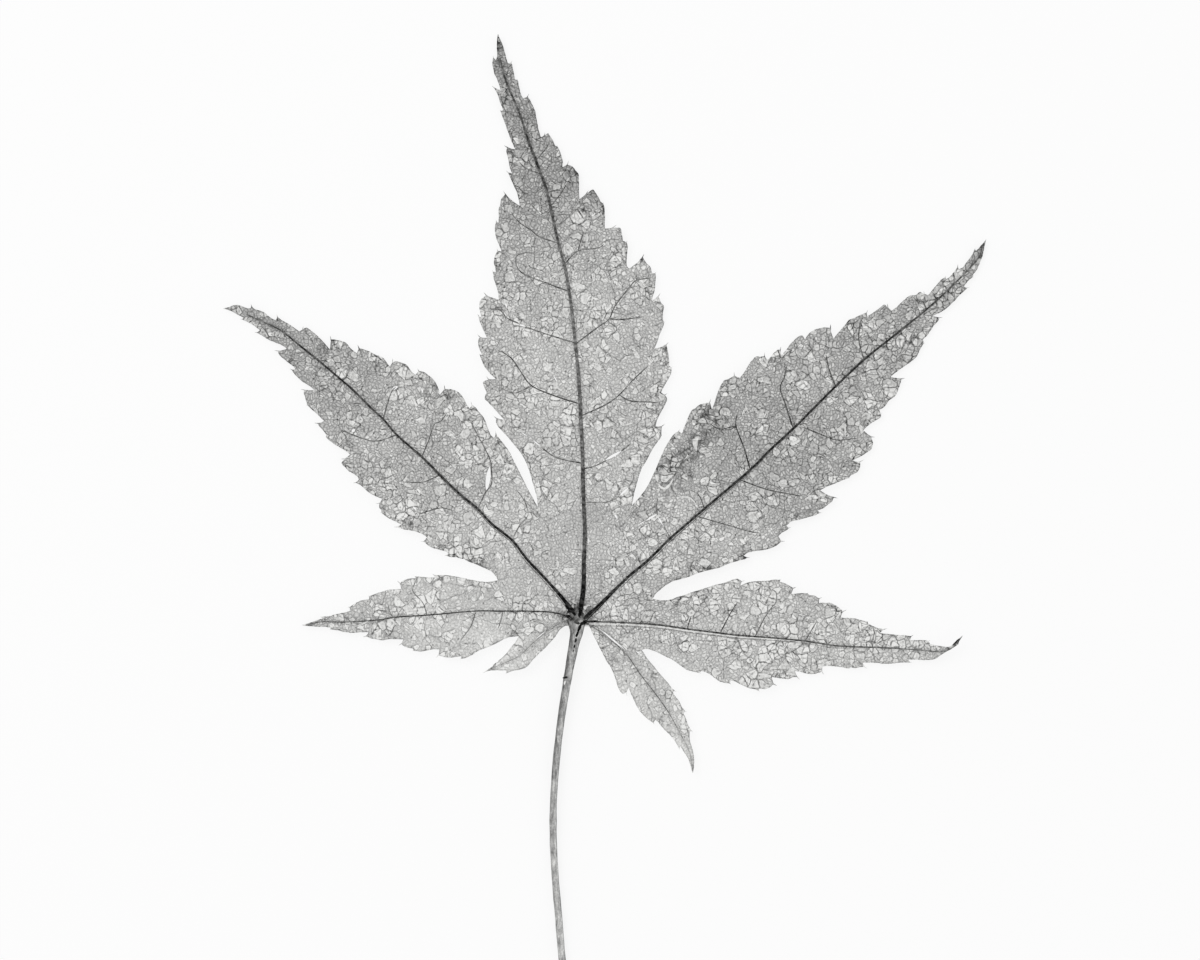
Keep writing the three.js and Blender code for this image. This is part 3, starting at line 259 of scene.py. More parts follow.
# The ribs, one for each lobe, from the hub outward: places the rib passes, and at each of RIB_SHARES of its
# length its width and how dark it is, from 0 black to 1 white. At each of LOBE_SHARES, near the lobe's
# root, half way and near its end, is how light the blade is beside it and how far pale islets have spread
# there.
RIB_SHARES = [0, 0.1, 0.4, 0.6, 0.8, 1]
LOBE_SHARES = [0.15, 0.45, 0.85]
RIBS = [
  {"width": [0.36, 0.4, 0.36, 0.28, 0.26, 0.16], "shade": [0, 0.3, 0.45, 0.45, 0.3, 0.4],
   "light": [0.8, 0.8, 0.65], "islets": [0.2, 0.4, 0.4], "through": [
    [0.1, 0.7], [0.45, 3.2], [0.5, 6], [0.6, 9], [0.5, 11], [0.4, 14], [0.35, 16.9], [0.2, 19.6],
    [0.1, 22.1], [-0.1, 25], [-0.35, 27.4], [-0.6, 30], [-0.95, 32.6], [-1.35, 35], [-2, 37.5],
    [-2.7, 40.6], [-3.3, 43.2], [-4.25, 45.8], [-5.15, 48.2], [-6, 50.8], [-7.3, 53.9], [-7.9, 56.2]]},
  {"width": [0.4, 0.26, 0.24, 0.2, 0.2, 0.12], "shade": [0.1, 0.15, 0.25, 0.25, 0.25, 0.45],
   "light": [0.8, 0.75, 0.7], "islets": [0.3, 0.5, 0.5], "through": [
    [-0.5, 0.7], [-1.8, 2.4], [-3.5, 4.3], [-5.2, 6.1], [-6.7, 8], [-8.7, 9.6], [-10.1, 11.1],
    [-11.8, 12.5], [-13.6, 14.2], [-15.7, 16.3], [-18.2, 18.5], [-19.5, 20], [-20.9, 21.3], [-22.6, 23],
    [-24.7, 24.8], [-26, 25.9], [-28, 27.5], [-29.9, 29], [-31.8, 29.9], [-33.3, 30.6]]},
  {"width": [0.3, 0.25, 0.24, 0.22, 0.2, 0.13], "shade": [0.1, 0.2, 0.2, 0.15, 0.3, 0.45],
   "light": [0.75, 0.7, 0.7], "islets": [0.2, 0.6, 0.8], "through": [
    [0.5, 0.1], [3.1, 2.6], [5.1, 4.5], [6.9, 6], [9.15, 8.2], [11, 9.8], [12.5, 11.1], [17.1, 15],
    [19.1, 17], [21.7, 19.4], [23.2, 20.9], [25.7, 23.4], [28.7, 26.2], [31.6, 28.5], [34.8, 31.1],
    [36.9, 33], [38.9, 35], [40, 36.3], [40.3, 37.1]]},
  {"width": [0.18, 0.13, 0.12, 0.12, 0.11, 0.1], "shade": [0.25, 0.2, 0.25, 0.25, 0.35, 0.5],
   "light": [0.8, 0.85, 0.8], "islets": [0.4, 0.6, 0.6], "through": [
    [-0.6, 0.2], [-2.5, 0.75], [-4.9, 0.9], [-7.8, 0.9], [-10.5, 0.9], [-15.1, 0.5], [-18.2, 0.3],
    [-20.2, 0], [-23.7, -0.2], [-25.5, -0.15], [-27, -0.4]]},
  {"width": [0.1, 0.15, 0.16, 0.15, 0.14, 0.12], "shade": [0.2, 0.35, 0.3, 0.35, 0.4, 0.5],
   "light": [0.75, 0.8, 0.8], "islets": [0.5, 0.7, 0.6], "through": [
    [0.5, -0.15], [3.1, -0.17], [5.9, -0.3], [8.3, -0.5], [11, -0.9], [14.1, -1.3], [15.7, -1.5],
    [19.2, -1.77], [22.6, -2.1], [26, -2.6], [30, -2.75], [33.5, -2.95], [36, -3.15], [37, -2.95]]},
  {"width": [0.14, 0.07, 0.07, 0.07, 0.07, 0.05], "shade": [0.3, 0.6, 0.7, 0.7, 0.7, 0.75],
   "light": [0.8, 0.85, 0.9], "islets": [0.3, 0.4, 0.5], "through": [
    [-0.9, 0.1], [-1.3, -0.05], [-2.7, -0.75], [-4.3, -2], [-5.9, -3.5], [-7.3, -4.2], [-8.7, -4.8]]},
  {"width": [0.1, 0.08, 0.1, 0.1, 0.08, 0.05], "shade": [0.25, 0.55, 0.45, 0.45, 0.6, 0.75],
   "light": [0.8, 0.85, 0.9], "islets": [0.2, 0.2, 0.4], "through": [
    [0.6, -0.25], [1.3, -0.6], [3.1, -1.9], [4.8, -3.5], [6.2, -5.5], [7.75, -7.5], [9, -9.3],
    [10.1, -11.3], [11, -13.1], [11.35, -14.9]]},
]

# Cords that run beside a rib: which rib, how far to its right as it runs outward, where along it they start
# and end from 0 to 1, their width and how dark they are.
RIB_CORDS = [
  (1, -0.3, 0.0, 0.45, 0.08, 0.42), (2, 0.3, 0.08, 0.5, 0.08, 0.44), (2, 0.27, 0.0, 0.09, 0.13, 0.14),
  (4, 0.42, 0.0, 0.75, 0.07, 0.5), (4, 0.22, 0.01, 0.6, 0.13, 0.95), (0, 0.24, 0.0, 0.12, 0.1, 0.25),
  (0, -0.24, 0.0, 0.14, 0.08, 0.2), (1, 0.22, 0.0, 0.06, 0.1, 0.2), (5, -0.2, 0.15, 0.6, 0.06, 0.82),
]

# Side veins that leave the ribs, strong ones first: width at the start, how dark, and the places they pass.
VEINS = [
  (0.15, 0.4, [[-0.35, 27.7], [-3.3, 28.6], [-5.3, 29.3]]),
  (0.15, 0.4, [[-6, 29.65], [-7.2, 30.2], [-7.9, 31], [-9, 31.1]]),
  (0.15, 0.3, [[0.1, 21.6], [-2.4, 22.4], [-4.7, 23.4], [-5.8, 24.8], [-6.7, 26.1], [-7.8, 26.9]]),
  (0.15, 0.4, [[0.3, 15.7], [-1.2, 15.95], [-2.4, 16.3], [-3.1, 16.75], [-3.75, 17.25]]),
  (0.15, 0.4, [[-1.1, 32.9], [-3, 33.6], [-5.8, 34.8], [-6.3, 36.3], [-5.2, 36.8]]),
  (0.15, 0.4, [[-0.35, 27.6], [1.9, 29.3], [3, 30.1], [3.6, 31.4], [4.9, 33.1], [5.7, 33.95], [7.1, 34.2]]),
  (0.15, 0.4, [[3, 30.1], [4.2, 30.05], [6.3, 30.3]]),
  (0.15, 0.4, [[0.2, 20.4], [2.6, 21.5], [4, 22.5], [5.4, 24], [6.9, 25.4]]),
  (0.15, 0.4, [[4, 22.5], [5.2, 21.9], [6.9, 21.8], [8.1, 21.7]]),
  (0.15, 0.4, [[0.4, 15.1], [1.6, 15.4], [2.7, 15.95]]),
  (0.15, 0.5, [[4.2, 16.9], [4.9, 17.4], [5.55, 18.05]]),
  (0.15, 0.2, [[17.1, 15.1], [16.5, 17.2], [15.7, 19.4], [15.8, 20.6]]),
  (0.15, 0.3, [[21.35, 19.3], [20.65, 21.5], [20.12, 23.2], [20.55, 24.3], [20.8, 25.5]]),
  (0.15, 0.3, [[25.65, 23.4], [25, 25.1], [24.7, 26.5]]),
  (0.15, 0.6, [[15.7, -1.5], [16.1, -2.6], [16.6, -3.5]]),
  (0.12, 0.5, [[-4.7, 23.4], [-5.6, 23], [-6.6, 22.7], [-8.1, 23.3]]),
  (0.12, 0.4, [[-2.1, 37.7], [-3.9, 38.3], [-4.8, 39], [-6, 39.8], [-6.9, 40.9]]),
  (0.12, 0.4, [[-3.8, 44.6], [-5.3, 45.2], [-6, 45.8]]),
  (0.12, 0.4, [[-1.45, 35.6], [-0.1, 36.9], [1.9, 37.2], [2.5, 37.6]]),
  (0.12, 0.3, [[-0.1, 36.9], [0.2, 38], [0.5, 38.9]]),
  (0.12, 0.5, [[0.5, 11.75], [2.2, 11.75], [3.3, 11.95], [4, 12.4]]),
  (0.12, 0.5, [[5, 13.35], [5.4, 14], [5.5, 14.8]]),
  (0.12, 0.4, [[-2.9, 41.3], [-2, 42.4], [-1.1, 43.8]]),
  (0.12, 0.6, [[-3.5, 44.1], [-2.5, 44.9], [-1.2, 45.3]]),
  (0.12, 0.4, [[-4.1, 46.2], [-3.3, 47.2], [-3, 47.8]]),
  (0.12, 0.6, [[-2.75, 40.2], [-4.2, 40.4], [-5.7, 41]]),
  (0.12, 0.5, [[-2.4, 39.2], [-0.9, 40.4], [-0.2, 41.1], [0.8, 41.8]]),
  (0.12, 0.4, [[-15.7, 16.3], [-15.3, 17.3], [-15, 18], [-14.5, 19.5], [-13.8, 19.9], [-13.2, 20.7]]),
  (0.12, 0.4, [[-10.1, 11.1], [-9.35, 12.75], [-8.75, 13.6], [-8.75, 15], [-8.95, 16.2], [-10.4, 19],
    [-10.85, 19.9]]),
  (0.12, 0.5, [[-6.7, 8], [-5.9, 9.5], [-5.1, 10.5], [-5.4, 11.8], [-6.2, 13]]),
  (0.12, 0.4, [[-19.6, 20.1], [-18.8, 22.7], [-18.3, 23.3]]),
  (0.12, 0.5, [[-21.2, 21.6], [-23.6, 21.7]]),
  (0.12, 0.4, [[-18.2, 18.5], [-20.6, 17.9], [-23.9, 19]]),
  (0.12, 0.4, [[-13.9, 14.5], [-15.6, 13.8], [-17.7, 13.8]]),
  (0.12, 0.4, [[-16, 10.6], [-13.9, 11.2], [-12.8, 11]]),
  (0.12, 0.3, [[12.5, 11.1], [12.2, 12.1], [11.8, 12.7]]),
  (0.12, 0.2, [[15.7, 19.4], [14.05, 19.1], [13, 19.7]]),
  (0.12, 0.3, [[28.5, 26], [28, 28], [28.1, 29.9]]),
  (0.12, 0.6, [[9.1, 8.2], [8.75, 8.9], [8.5, 9.4]]),
  (0.12, 0.5, [[7.85, 10.5], [7.75, 11.4], [7.9, 12.3]]),
  (0.12, 0.4, [[11.7, 10.4], [14.8, 9.5], [17.1, 8.85], [18, 8.7]]),
  (0.12, 0.3, [[15.9, 14.1], [18.6, 13.1], [20.2, 12.75], [22.2, 12.4]]),
  (0.12, 0.3, [[22.3, 19.3], [24.1, 18.6], [25.8, 18], [27.9, 18.2]]),
  (0.12, 0.5, [[27.4, 25.1], [28.9, 24.6], [30.2, 24.5]]),
  (0.12, 0.5, [[-15.2, 0.5], [-15.6, 1.7], [-16.5, 2.7], [-16.6, 3.2], [-16.2, 4.2]]),
  (0.12, 0.5, [[-18.6, 0.3], [-18.9, 0.8], [-19.1, 1.6]]),
  (0.12, 0.4, [[-7.6, 0.9], [-7.8, 0], [-8.1, -0.9]]),
  (0.12, 0.5, [[-10.3, 0.9], [-10.8, -0.6], [-11.8, -2]]),
  (0.12, 0.2, [[14.1, -1.3], [15.2, 0.8], [15.85, 1.8]]),
  (0.12, 0.4, [[17.6, -1.65], [18.6, 0.3], [19.6, 1.7]]),
  (0.12, 0.4, [[22.6, -2.1], [23.8, -0.1]]),
  (0.12, 0.2, [[10.8, -0.9], [11, -0.2], [11.2, 0.4]]),
  (0.12, 0.6, [[9.3, -0.7], [9.9, -2.6], [10.9, -3.6]]),
]

# Splits right through the dry blade: two ends and the width at the middle.
SPLITS = [
  ([-8.92, 15.4], [-9.25, 12.85], 0.46), ([2.6, 15.98], [4.25, 16.9], 0.26),
  ([-4.55, 17.95], [-3.9, 17.4], 0.13), ([-5.75, 18.75], [-5.2, 18.4], 0.1),
  ([-5.95, 29.55], [-5.35, 29.35], 0.16), ([4.05, 12.4], [4.95, 13.25], 0.2),
  ([3.55, 10.6], [3.85, 10.12], 0.2), ([-7.4, 31.7], [-7.2, 31.2], 0.13),
  ([-2.52, 24.4], [-2.18, 23.8], 0.11), ([0.97, 8.25], [0.97, 7.6], 0.11),
  ([7.87, 10.37], [8.4, 9.45], 0.14), ([5.9, 9.5], [6.6, 9.9], 0.1), ([6.7, 9.95], [7.75, 10.6], 0.18),
  ([2.1, -0.88], [4.65, -3.0], 0.16), ([-16.62, 11.35], [-16.25, 11.0], 0.2),
  ([-18.75, 23.02], [-18.1, 23.38], 0.3), ([-22.75, 18.8], [-22.4, 19.1], 0.3),
  ([-15.75, 23.2], [-15.6, 22.7], 0.18), ([4.6, -4.15], [4.6, -4.5], 0.14),
  ([5.7, -3.1], [6.1, -3.35], 0.14), ([-4.4, -1.95], [-3.3, -1.05], 0.08),
]

# Small raised scabs and worn flecks that stay pale: place, length, width and direction in degrees.
PALE_FLECKS = [
  (5, 19.6, 0.9, 0.2, 15), (4.2, 20.1, 0.7, 0.22, 10), (-6.3, 20.8, 1, 0.25, -8), (-2, 15.4, 0.9, 0.3, -5),
  (5.3, 17.7, 0.25, 0.6, 0), (5.35, 15.8, 0.5, 0.22, -50), (-7, 14.1, 0.6, 0.24, -20),
  (-1.9, 21.6, 0.5, 0.16, 60), (-11.7, 15.7, 0.6, 0.3, 0), (-27.2, 25.2, 0.5, 0.3, 40),
  (13.6, 2.3, 0.6, 0.3, 10), (16.8, 2.6, 0.7, 0.3, -10), (-12.4, 2.2, 0.7, 0.4, 10),
  (24.6, -3.3, 0.6, 0.3, 0),
]

# Longer scabs with a bend in them: width, and the places they run through.
SCABS = [
  (0.26, [[7.95, 13.65], [8.15, 13.3], [8.6, 13.15], [9.05, 13.5], [9.4, 14.1]]),
  (0.2, [[10, 12.3], [10.5, 12.3], [10.95, 12.25], [11.35, 12], [11.6, 11.7]]),
]

# Stained places: place, reach along and across, direction in degrees, and how deep the stain is.
STAINS = [
  (10.4, 16.0, 2.2, 1.0, 45, 0.17), (11.5, 17.6, 1.4, 1.0, 60, 0.13), (12.9, 18.4, 1.4, 1.2, 45, 0.09),
  (9.9, 13.2, 1.6, 0.8, 30, 0.09), (14.2, 20.8, 1.4, 0.7, 40, 0.1), (13.1, 19.9, 1.8, 1.0, 60, 0.15),
  (11.2, 14.8, 0.35, 0.8, 0, 0.18), (8.3, 13.8, 0.9, 0.6, 30, 0.17), (9.2, 15.6, 1.6, 0.9, 60, 0.12),
  (12.2, 20.6, 1.2, 0.7, 40, 0.12), (7.4, 11.2, 1.6, 1.0, 40, 0.08), (12.5, 5.05, 3.6, 0.5, 16, 0.13),
  (16.5, 6.3, 2.0, 0.35, 20, 0.14), (22.7, 10.8, 1.6, 0.3, 20, 0.12), (-13.5, 22.3, 0.7, 0.5, 0, 0.22),
  (-19.5, 25.6, 0.7, 0.45, 0, 0.2), (-15.5, 22.5, 0.5, 0.7, 0, 0.15), (-17, 9.7, 1.0, 0.35, -20, 0.16),
  (-11.0, 6.2, 2.0, 0.35, -20, 0.2), (0.5, 41, 0.3, 0.3, 0, 0.3), (2.3, 41.4, 0.4, 0.4, 0, 0.2),
  (3.4, 36.5, 0.7, 0.5, 40, 0.12), (15.3, 0.9, 1.0, 0.5, 40, 0.16), (19.6, 1.6, 0.6, 0.4, 40, 0.18),
  (17.2, -4.4, 0.8, 0.4, -20, 0.2), (-19, -1.3, 0.5, 0.4, 0, 0.16), (-13.8, 4.1, 0.7, 0.3, 0, 0.2),
  (-15, 3.6, 0.6, 0.3, 0, 0.16), (37.9, -2.2, 1.1, 0.9, 50, 0.3), (-34.6, 31.2, 1.4, 0.5, 0, 0.16),
  (40.2, 36.6, 0.5, 1.6, 0, 0.14), (-8.3, 57.2, 0.5, 1.8, 0, 0.26), (-27.4, -0.45, 0.8, 0.4, 0, 0.2),
  (11.3, -14.7, 0.3, 0.8, 0, 0.16), (8.6, 22.4, 0.5, 0.9, 0, 0.14), (8.8, 27.2, 0.7, 0.4, 0, 0.16),
  (6.3, 36.1, 0.5, 0.5, 0, 0.14), (-9.1, 24.4, 0.7, 0.35, 0, 0.12), (-4.9, -4.6, 0.9, 0.4, 0, 0.05),
  (0, 24.9, 0.4, 1.6, 0, 0.04), (0.1, 1.4, 1.6, 1.2, 0, 0.16), (-0.4, 0.6, 1.4, 0.9, 0, 0.3),
  (2.5, 10.5, 2.5, 1.5, 0, 0.05), (-20.0, 14.6, 2.0, 0.8, 30, 0.05), (26.5, 15.2, 1.6, 0.7, 30, 0.06),
]

# Lumps of the hub: place, length, width, direction in degrees, how dark, and how high they stand.
KNOTS = [
  (-0.1, 0.45, 1.9, 1.3, 0, 0.4, 0.1), (0.95, 1.1, 0.9, 0.7, 40, 0.42, 0.06),
  (-1.1, 1.32, 0.9, 0.42, -52, 0, 0.18), (-0.78, 1.02, 0.95, 0.56, -30, 0, 0.2),
  (-0.5, 0.68, 0.8, 0.32, -55, 0, 0.2), (-1.12, 0.4, 0.62, 0.4, 15, 0.04, 0.16),
  (0.1, 0.75, 1.3, 0.42, 80, 0.03, 0.2), (0.25, 1.5, 1.3, 0.34, 83, 0.05, 0.16),
  (0.95, 0.62, 1.5, 0.34, 44, 0.02, 0.18), (1.3, -0.1, 1.5, 0.2, 4, 0.03, 0.14),
  (0.45, -0.25, 0.9, 0.4, 32, 0.0, 0.18), (0.1, -0.7, 0.9, 0.3, 64, 0.02, 0.12),
  (-0.13, -1.3, 0.8, 0.24, 66, 0.06, 0.1), (-0.33, -2.0, 0.45, 0.24, 74, 0.04, 0.1),
  (-0.45, -2.6, 0.35, 0.16, 74, 0.1, 0.07), (-0.56, -3.05, 0.3, 0.1, 74, 0.3, 0.05),
  (-1.0, -0.4, 1.1, 0.1, -62, 0.22, 0.06), (-0.38, 0.05, 0.3, 0.22, 20, 0.5, 0.12),
  (-1.38, -5.72, 0.55, 0.24, 22, 0.16, 0.08), (1.85, 0.95, 1.3, 0.1, 42, 0.2, 0.05),
  (-0.55, -4.6, 0.8, 0.1, 78, 0.4, 0.04), (-1.42, -6.2, 0.5, 0.22, 75, 0.88, 0.08),
  (-0.15, -0.25, 0.5, 0.3, -20, 0.36, 0.1), (-0.7, 0.1, 0.5, 0.3, 30, 0.16, 0.1),
]

# The stalk's centre line from the hub down, and its width at heights along it.
STALK_LINE = [
  [-0.25, 0.35], [-0.22, -0.4], [-0.25, -1.3], [-0.5, -2.4], [-1.1, -5.6], [-1.8, -10], [-2.35, -15],
  [-2.6, -20], [-2.43, -25], [-2.02, -30], [-1.68, -34], [-1.3, -37.2], [-1.12, -38.4],
]
STALK_WIDTHS = [
  (0.35, 0.3), (0.15, 1.0), (-0.2, 1.85), (-0.45, 1.7), (-0.7, 1.5), (-1.1, 1.34), (-1.8, 1.14),
  (-2.4, 1.04), (-5, 0.84), (-5.8, 0.88), (-6.6, 0.8), (-10, 0.74), (-19, 0.68), (-20, 0.76), (-21, 0.7),
  (-34, 0.74), (-37, 0.84), (-38.1, 1.0), (-38.4, 0.9),
]

# Thicknesses, steps between places along a line, and how strongly the dry leaf is bent and creased.
BLADE_THICKNESS = 0.17
REST_HEIGHT = 0.3
SPINE_LENGTH = 0.42
SPINE_WIDTH = 0.1
MARGIN_STEP = 0.16
BLADE_STEP = 0.26
VEIN_STEP = 0.22
HOLLOW_BEND = 0.12
WAVER = 0.03
QUILT = 0.1
QUILT_REACH = 0.9
BROAD_CRINKLE = 0.1
FINE_CRINKLE = 0.035
LOWEST = 0.12
FLOOR_GAP = 0.01
CROWN_HEIGHT = 0.75
CROWN_REACH = 24
WAVE_HEIGHT = 0.28
CURL_RISE = 0.045
CURL_FROM_X = 31
CURL_BELOW_Y = 8
POINT_START = 0.35
POINT_GROWTH = 0.5
THINNEST_CORD = 0.03
STALK_STEP = 0.25
STALK_REST = 0.5
STALK_DROP = 1.6
GROOVE_DEPTH = 0.16
GROOVE_REACH = 0.35
KNOT_ROOT = 0.12

# The lamp's place, in metres.
LAMP_PLACE = (-0.35, 0.3, 0.55)


def along(points, step):
    """Places every step along a smooth curve through the points, both ends among them."""
    points = [np.array(p[:2], float) for p in points]
    if len(points) == 2:
        count = max(1, round(float(np.linalg.norm(points[1] - points[0])) / step))
        return [points[0] + (points[1] - points[0]) * i / count for i in range(count + 1)]
    ends = [2 * points[0] - points[1]] + points + [2 * points[-1] - points[-2]]
    places = []
    for a, b, c, d in zip(ends, ends[1:], ends[2:], ends[3:]):
        count = max(1, round(float(np.linalg.norm(c - b)) / step))
        for i in range(count):
            t = i / count
            places.append(0.5 * (2 * b + (c - a) * t + (2 * a - 5 * b + 4 * c - d) * t * t
                                 + (3 * b - a - 3 * c + d) * t ** 3))
    places.append(points[-1])
    return places


def tooth(before, tip, hollow):
    """The slender spine that ends a tooth: its root on the outer side, its point, and the bent way back."""
    tip, hollow, before = (np.array(p, float) for p in (tip, hollow, before))
    ahead = tip - (before + hollow) / 2
    ahead /= np.linalg.norm(ahead)
    outer = np.array([-ahead[1], ahead[0]])
    if outer @ (before - hollow) < 0:
        outer = -outer
    size = min(1, float(np.linalg.norm(tip - hollow)) / 0.9)
    root = tip - ahead * SPINE_LENGTH * size
    left, right = root + outer * SPINE_WIDTH * size / 2, root - outer * SPINE_WIDTH * size / 2
    back = hollow - right
    bend = (right + hollow) / 2 + outer * HOLLOW_BEND * float(np.linalg.norm(back))
    count = max(1, round(float(np.linalg.norm(back)) / MARGIN_STEP))
    way = [right * (1 - t) ** 2 + bend * 2 * t * (1 - t) + hollow * t * t for t in
           (i / count for i in range(count + 1))]
    return left, tip, way


def lobe_edge(entries, end):
    """One edge of a lobe, from its bay to its end, tooth after tooth."""
    places, run = [], [entries[0]]
    for entry in entries[1:]:
        if len(entry) == 2:
            run.append(entry)
            continue
        root, tip, way = tooth(run[-1], entry[:2], entry[2:])
        places += along(run + [root], MARGIN_STEP)
        places.append(tip)
        places += way[:-1]
        run = [entry[2:]]
    return places + along(run + [end], MARGIN_STEP)


def whole_margin():
    """The blade's edge once round, anticlockwise, wavering a little as a dry edge does."""
    places = []
    for lobe in LOBES:
        places += lobe_edge(lobe["first"], lobe["end"])[:-1]
        places += lobe_edge(lobe["second"], lobe["end"])[::-1][:-1]
    kept = []
    for x, y in places:
        waver = [noise.noise(Vector((x * 1.9, y * 1.9, depth))) + noise.noise(Vector((x * 5.5, y * 5.5, depth)))
                 for depth in (3.1, 7.7)]
        at = np.array([x, y]) + WAVER * np.array(waver)
        if not kept or np.linalg.norm(at - kept[-1]) > 0.02:
            kept.append(at)
    return np.array(kept)


def split_edge(start, end, width):
    """The lens-shaped edge of a split."""
    start, end = np.array(start, float), np.array(end, float)
    side = np.array([start[1] - end[1], end[0] - start[0]])
    side /= np.linalg.norm(side)
    count = max(4, round(float(np.linalg.norm(end - start)) / 0.12))
    there = [start + (end - start) * i / count + side * width / 2 * math.sin(math.pi * i / count) ** 0.8
             for i in range(count)]
    back = [end + (start - end) * i / count - side * width / 2 * math.sin(math.pi * i / count) ** 0.8
            for i in range(count)]
    return np.array(there + back)[::-1]


def tree_of(places):
    """The places sorted so that the nearest one is quick to find."""
    tree = kdtree.KDTree(len(places))
    for i, (x, y) in enumerate(places):
        tree.insert((x, y, 0), i)
    tree.balance()
    return tree


def nearest(points, tree):
    """How far each point is from the nearest place."""
    return np.array([tree.find((x, y, 0))[2] for x, y in points])


def lie(x, y):
    """How high the middle of the blade lies above the floor."""
    reach = np.hypot(x, y)
    crown = CROWN_HEIGHT * np.exp(-(reach / CROWN_REACH) ** 2)
    waves = WAVE_HEIGHT * (0.5 + 0.5 * np.sin(0.19 * x + 0.7) * np.cos(0.16 * y - 0.5))
    past = np.where(y < CURL_BELOW_Y, np.maximum(0, x - CURL_FROM_X), 0)
    return REST_HEIGHT - 0.13 + crown + waves + CURL_RISE * past ** 1.5


veins_tree = tree_of([p for rib in RIBS for p in along(rib["through"], 0.2)]
                     + [p for _, _, vein in VEINS for p in along(vein, 0.2)])
ribs_tree = tree_of([p for rib in RIBS for p in along(rib["through"], 0.1)])


def blade_height(points):
    """The middle of the blade: its lie, quilted up between the veins and crinkled as it dried."""
    points = np.asarray(points, float)
    quilt = 1 - np.exp(-(nearest(points, veins_tree) / QUILT_REACH) ** 2)
    crinkle = np.array([BROAD_CRINKLE * noise.noise(Vector((x * 0.33, y * 0.33, 1.7)))
                        + FINE_CRINKLE * noise.noise(Vector((x * 1.15, y * 1.15, 5.1))) for x, y in points])
    return np.maximum(LOWEST, lie(points[:, 0], points[:, 1]) + QUILT * quilt + crinkle)


def row_crossings(loops, y):
    """Where a row at height y crosses the loops' edges."""
    places = []
    for loop in loops:
        ahead = np.roll(loop, -1, axis=0)
        cut = (loop[:, 1] <= y) != (ahead[:, 1] <= y)
        a, b = loop[cut], ahead[cut]
        places.append(a[:, 0] + (y - a[:, 1]) / (b[:, 1] - a[:, 1]) * (b[:, 0] - a[:, 0]))
    return np.sort(np.concatenate(places))


def inner_places(loops):
    """Places all over the blade, in rows that are shaken a little."""
    rng = np.random.default_rng(41)
    edge = loops[0]
    places, odd = [], False
    for y in np.arange(edge[:, 1].min() + BLADE_STEP / 2, edge[:, 1].max(), BLADE_STEP * 0.87):
        odd = not odd
        row = np.arange(edge[:, 0].min() + (BLADE_STEP / 2 if odd else 0), edge[:, 0].max(), BLADE_STEP)
        row = row + rng.uniform(-0.06, 0.06, len(row))
        inside = np.searchsorted(row_crossings(loops, y), row) % 2 == 1
        places += [(x, y + rng.uniform(-0.05, 0.05)) for x in row[inside]]
    places = np.array(places)
    return places[nearest(places, tree_of(np.concatenate(loops))) > 0.11]


def mesh_piece(name, vertices, faces, material, attributes=None):
    """A piece of the leaf from vertices in millimetres in the leaf's own frame."""
    shift = np.array([SHIFT_X, SHIFT_Y, 0])
    mesh = bpy.data.meshes.new(name)
    mesh.from_pydata(((np.asarray(vertices, float) + shift) * MM).tolist(), [], faces)
    mesh.validate()
    mesh.polygons.foreach_set("use_smooth", [True] * len(mesh.polygons))
    for label, values in (attributes or {}).items():
        fact = mesh.attributes.new(label, "FLOAT", "POINT")
        fact.data.foreach_set("value", np.asarray(values, np.float32))
    mesh.materials.append(material)
    piece = bpy.data.objects.new(name, mesh)
    bpy.context.scene.collection.objects.link(piece)
    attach(piece, "root")
    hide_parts("maple_leaf")
    return piece


def lightness(points):
    """How light the blade is at each place, and how spread its islets are, blended from lobe to lobe."""
    known = []
    for rib in RIBS:
        line = along(rib["through"], VEIN_STEP)
        for share, light, islets in zip(LOBE_SHARES, rib["light"], rib["islets"]):
            known.append((*line[round(share * (len(line) - 1))], light, islets))
    known = np.array(known)
    gap = np.hypot(points[:, None, 0] - known[None, :, 0], points[:, None, 1] - known[None, :, 1])
    weight = 1 / (gap + 0.8) ** 3
    return (weight @ known[:, 2:] / weight.sum(axis=1)[:, None]).T


def stain(points):
    """How deeply stained the blade is at each place."""
    total = np.zeros(len(points))
    for x, y, length, width, turn, depth in STAINS:
        c, s = math.cos(math.radians(turn)), math.sin(math.radians(turn))
        u = ((points[:, 0] - x) * c + (points[:, 1] - y) * s) / length
        v = ((points[:, 1] - y) * c - (points[:, 0] - x) * s) / width
        total += depth * np.exp(-(u * u + v * v) * 1.2)
    return total


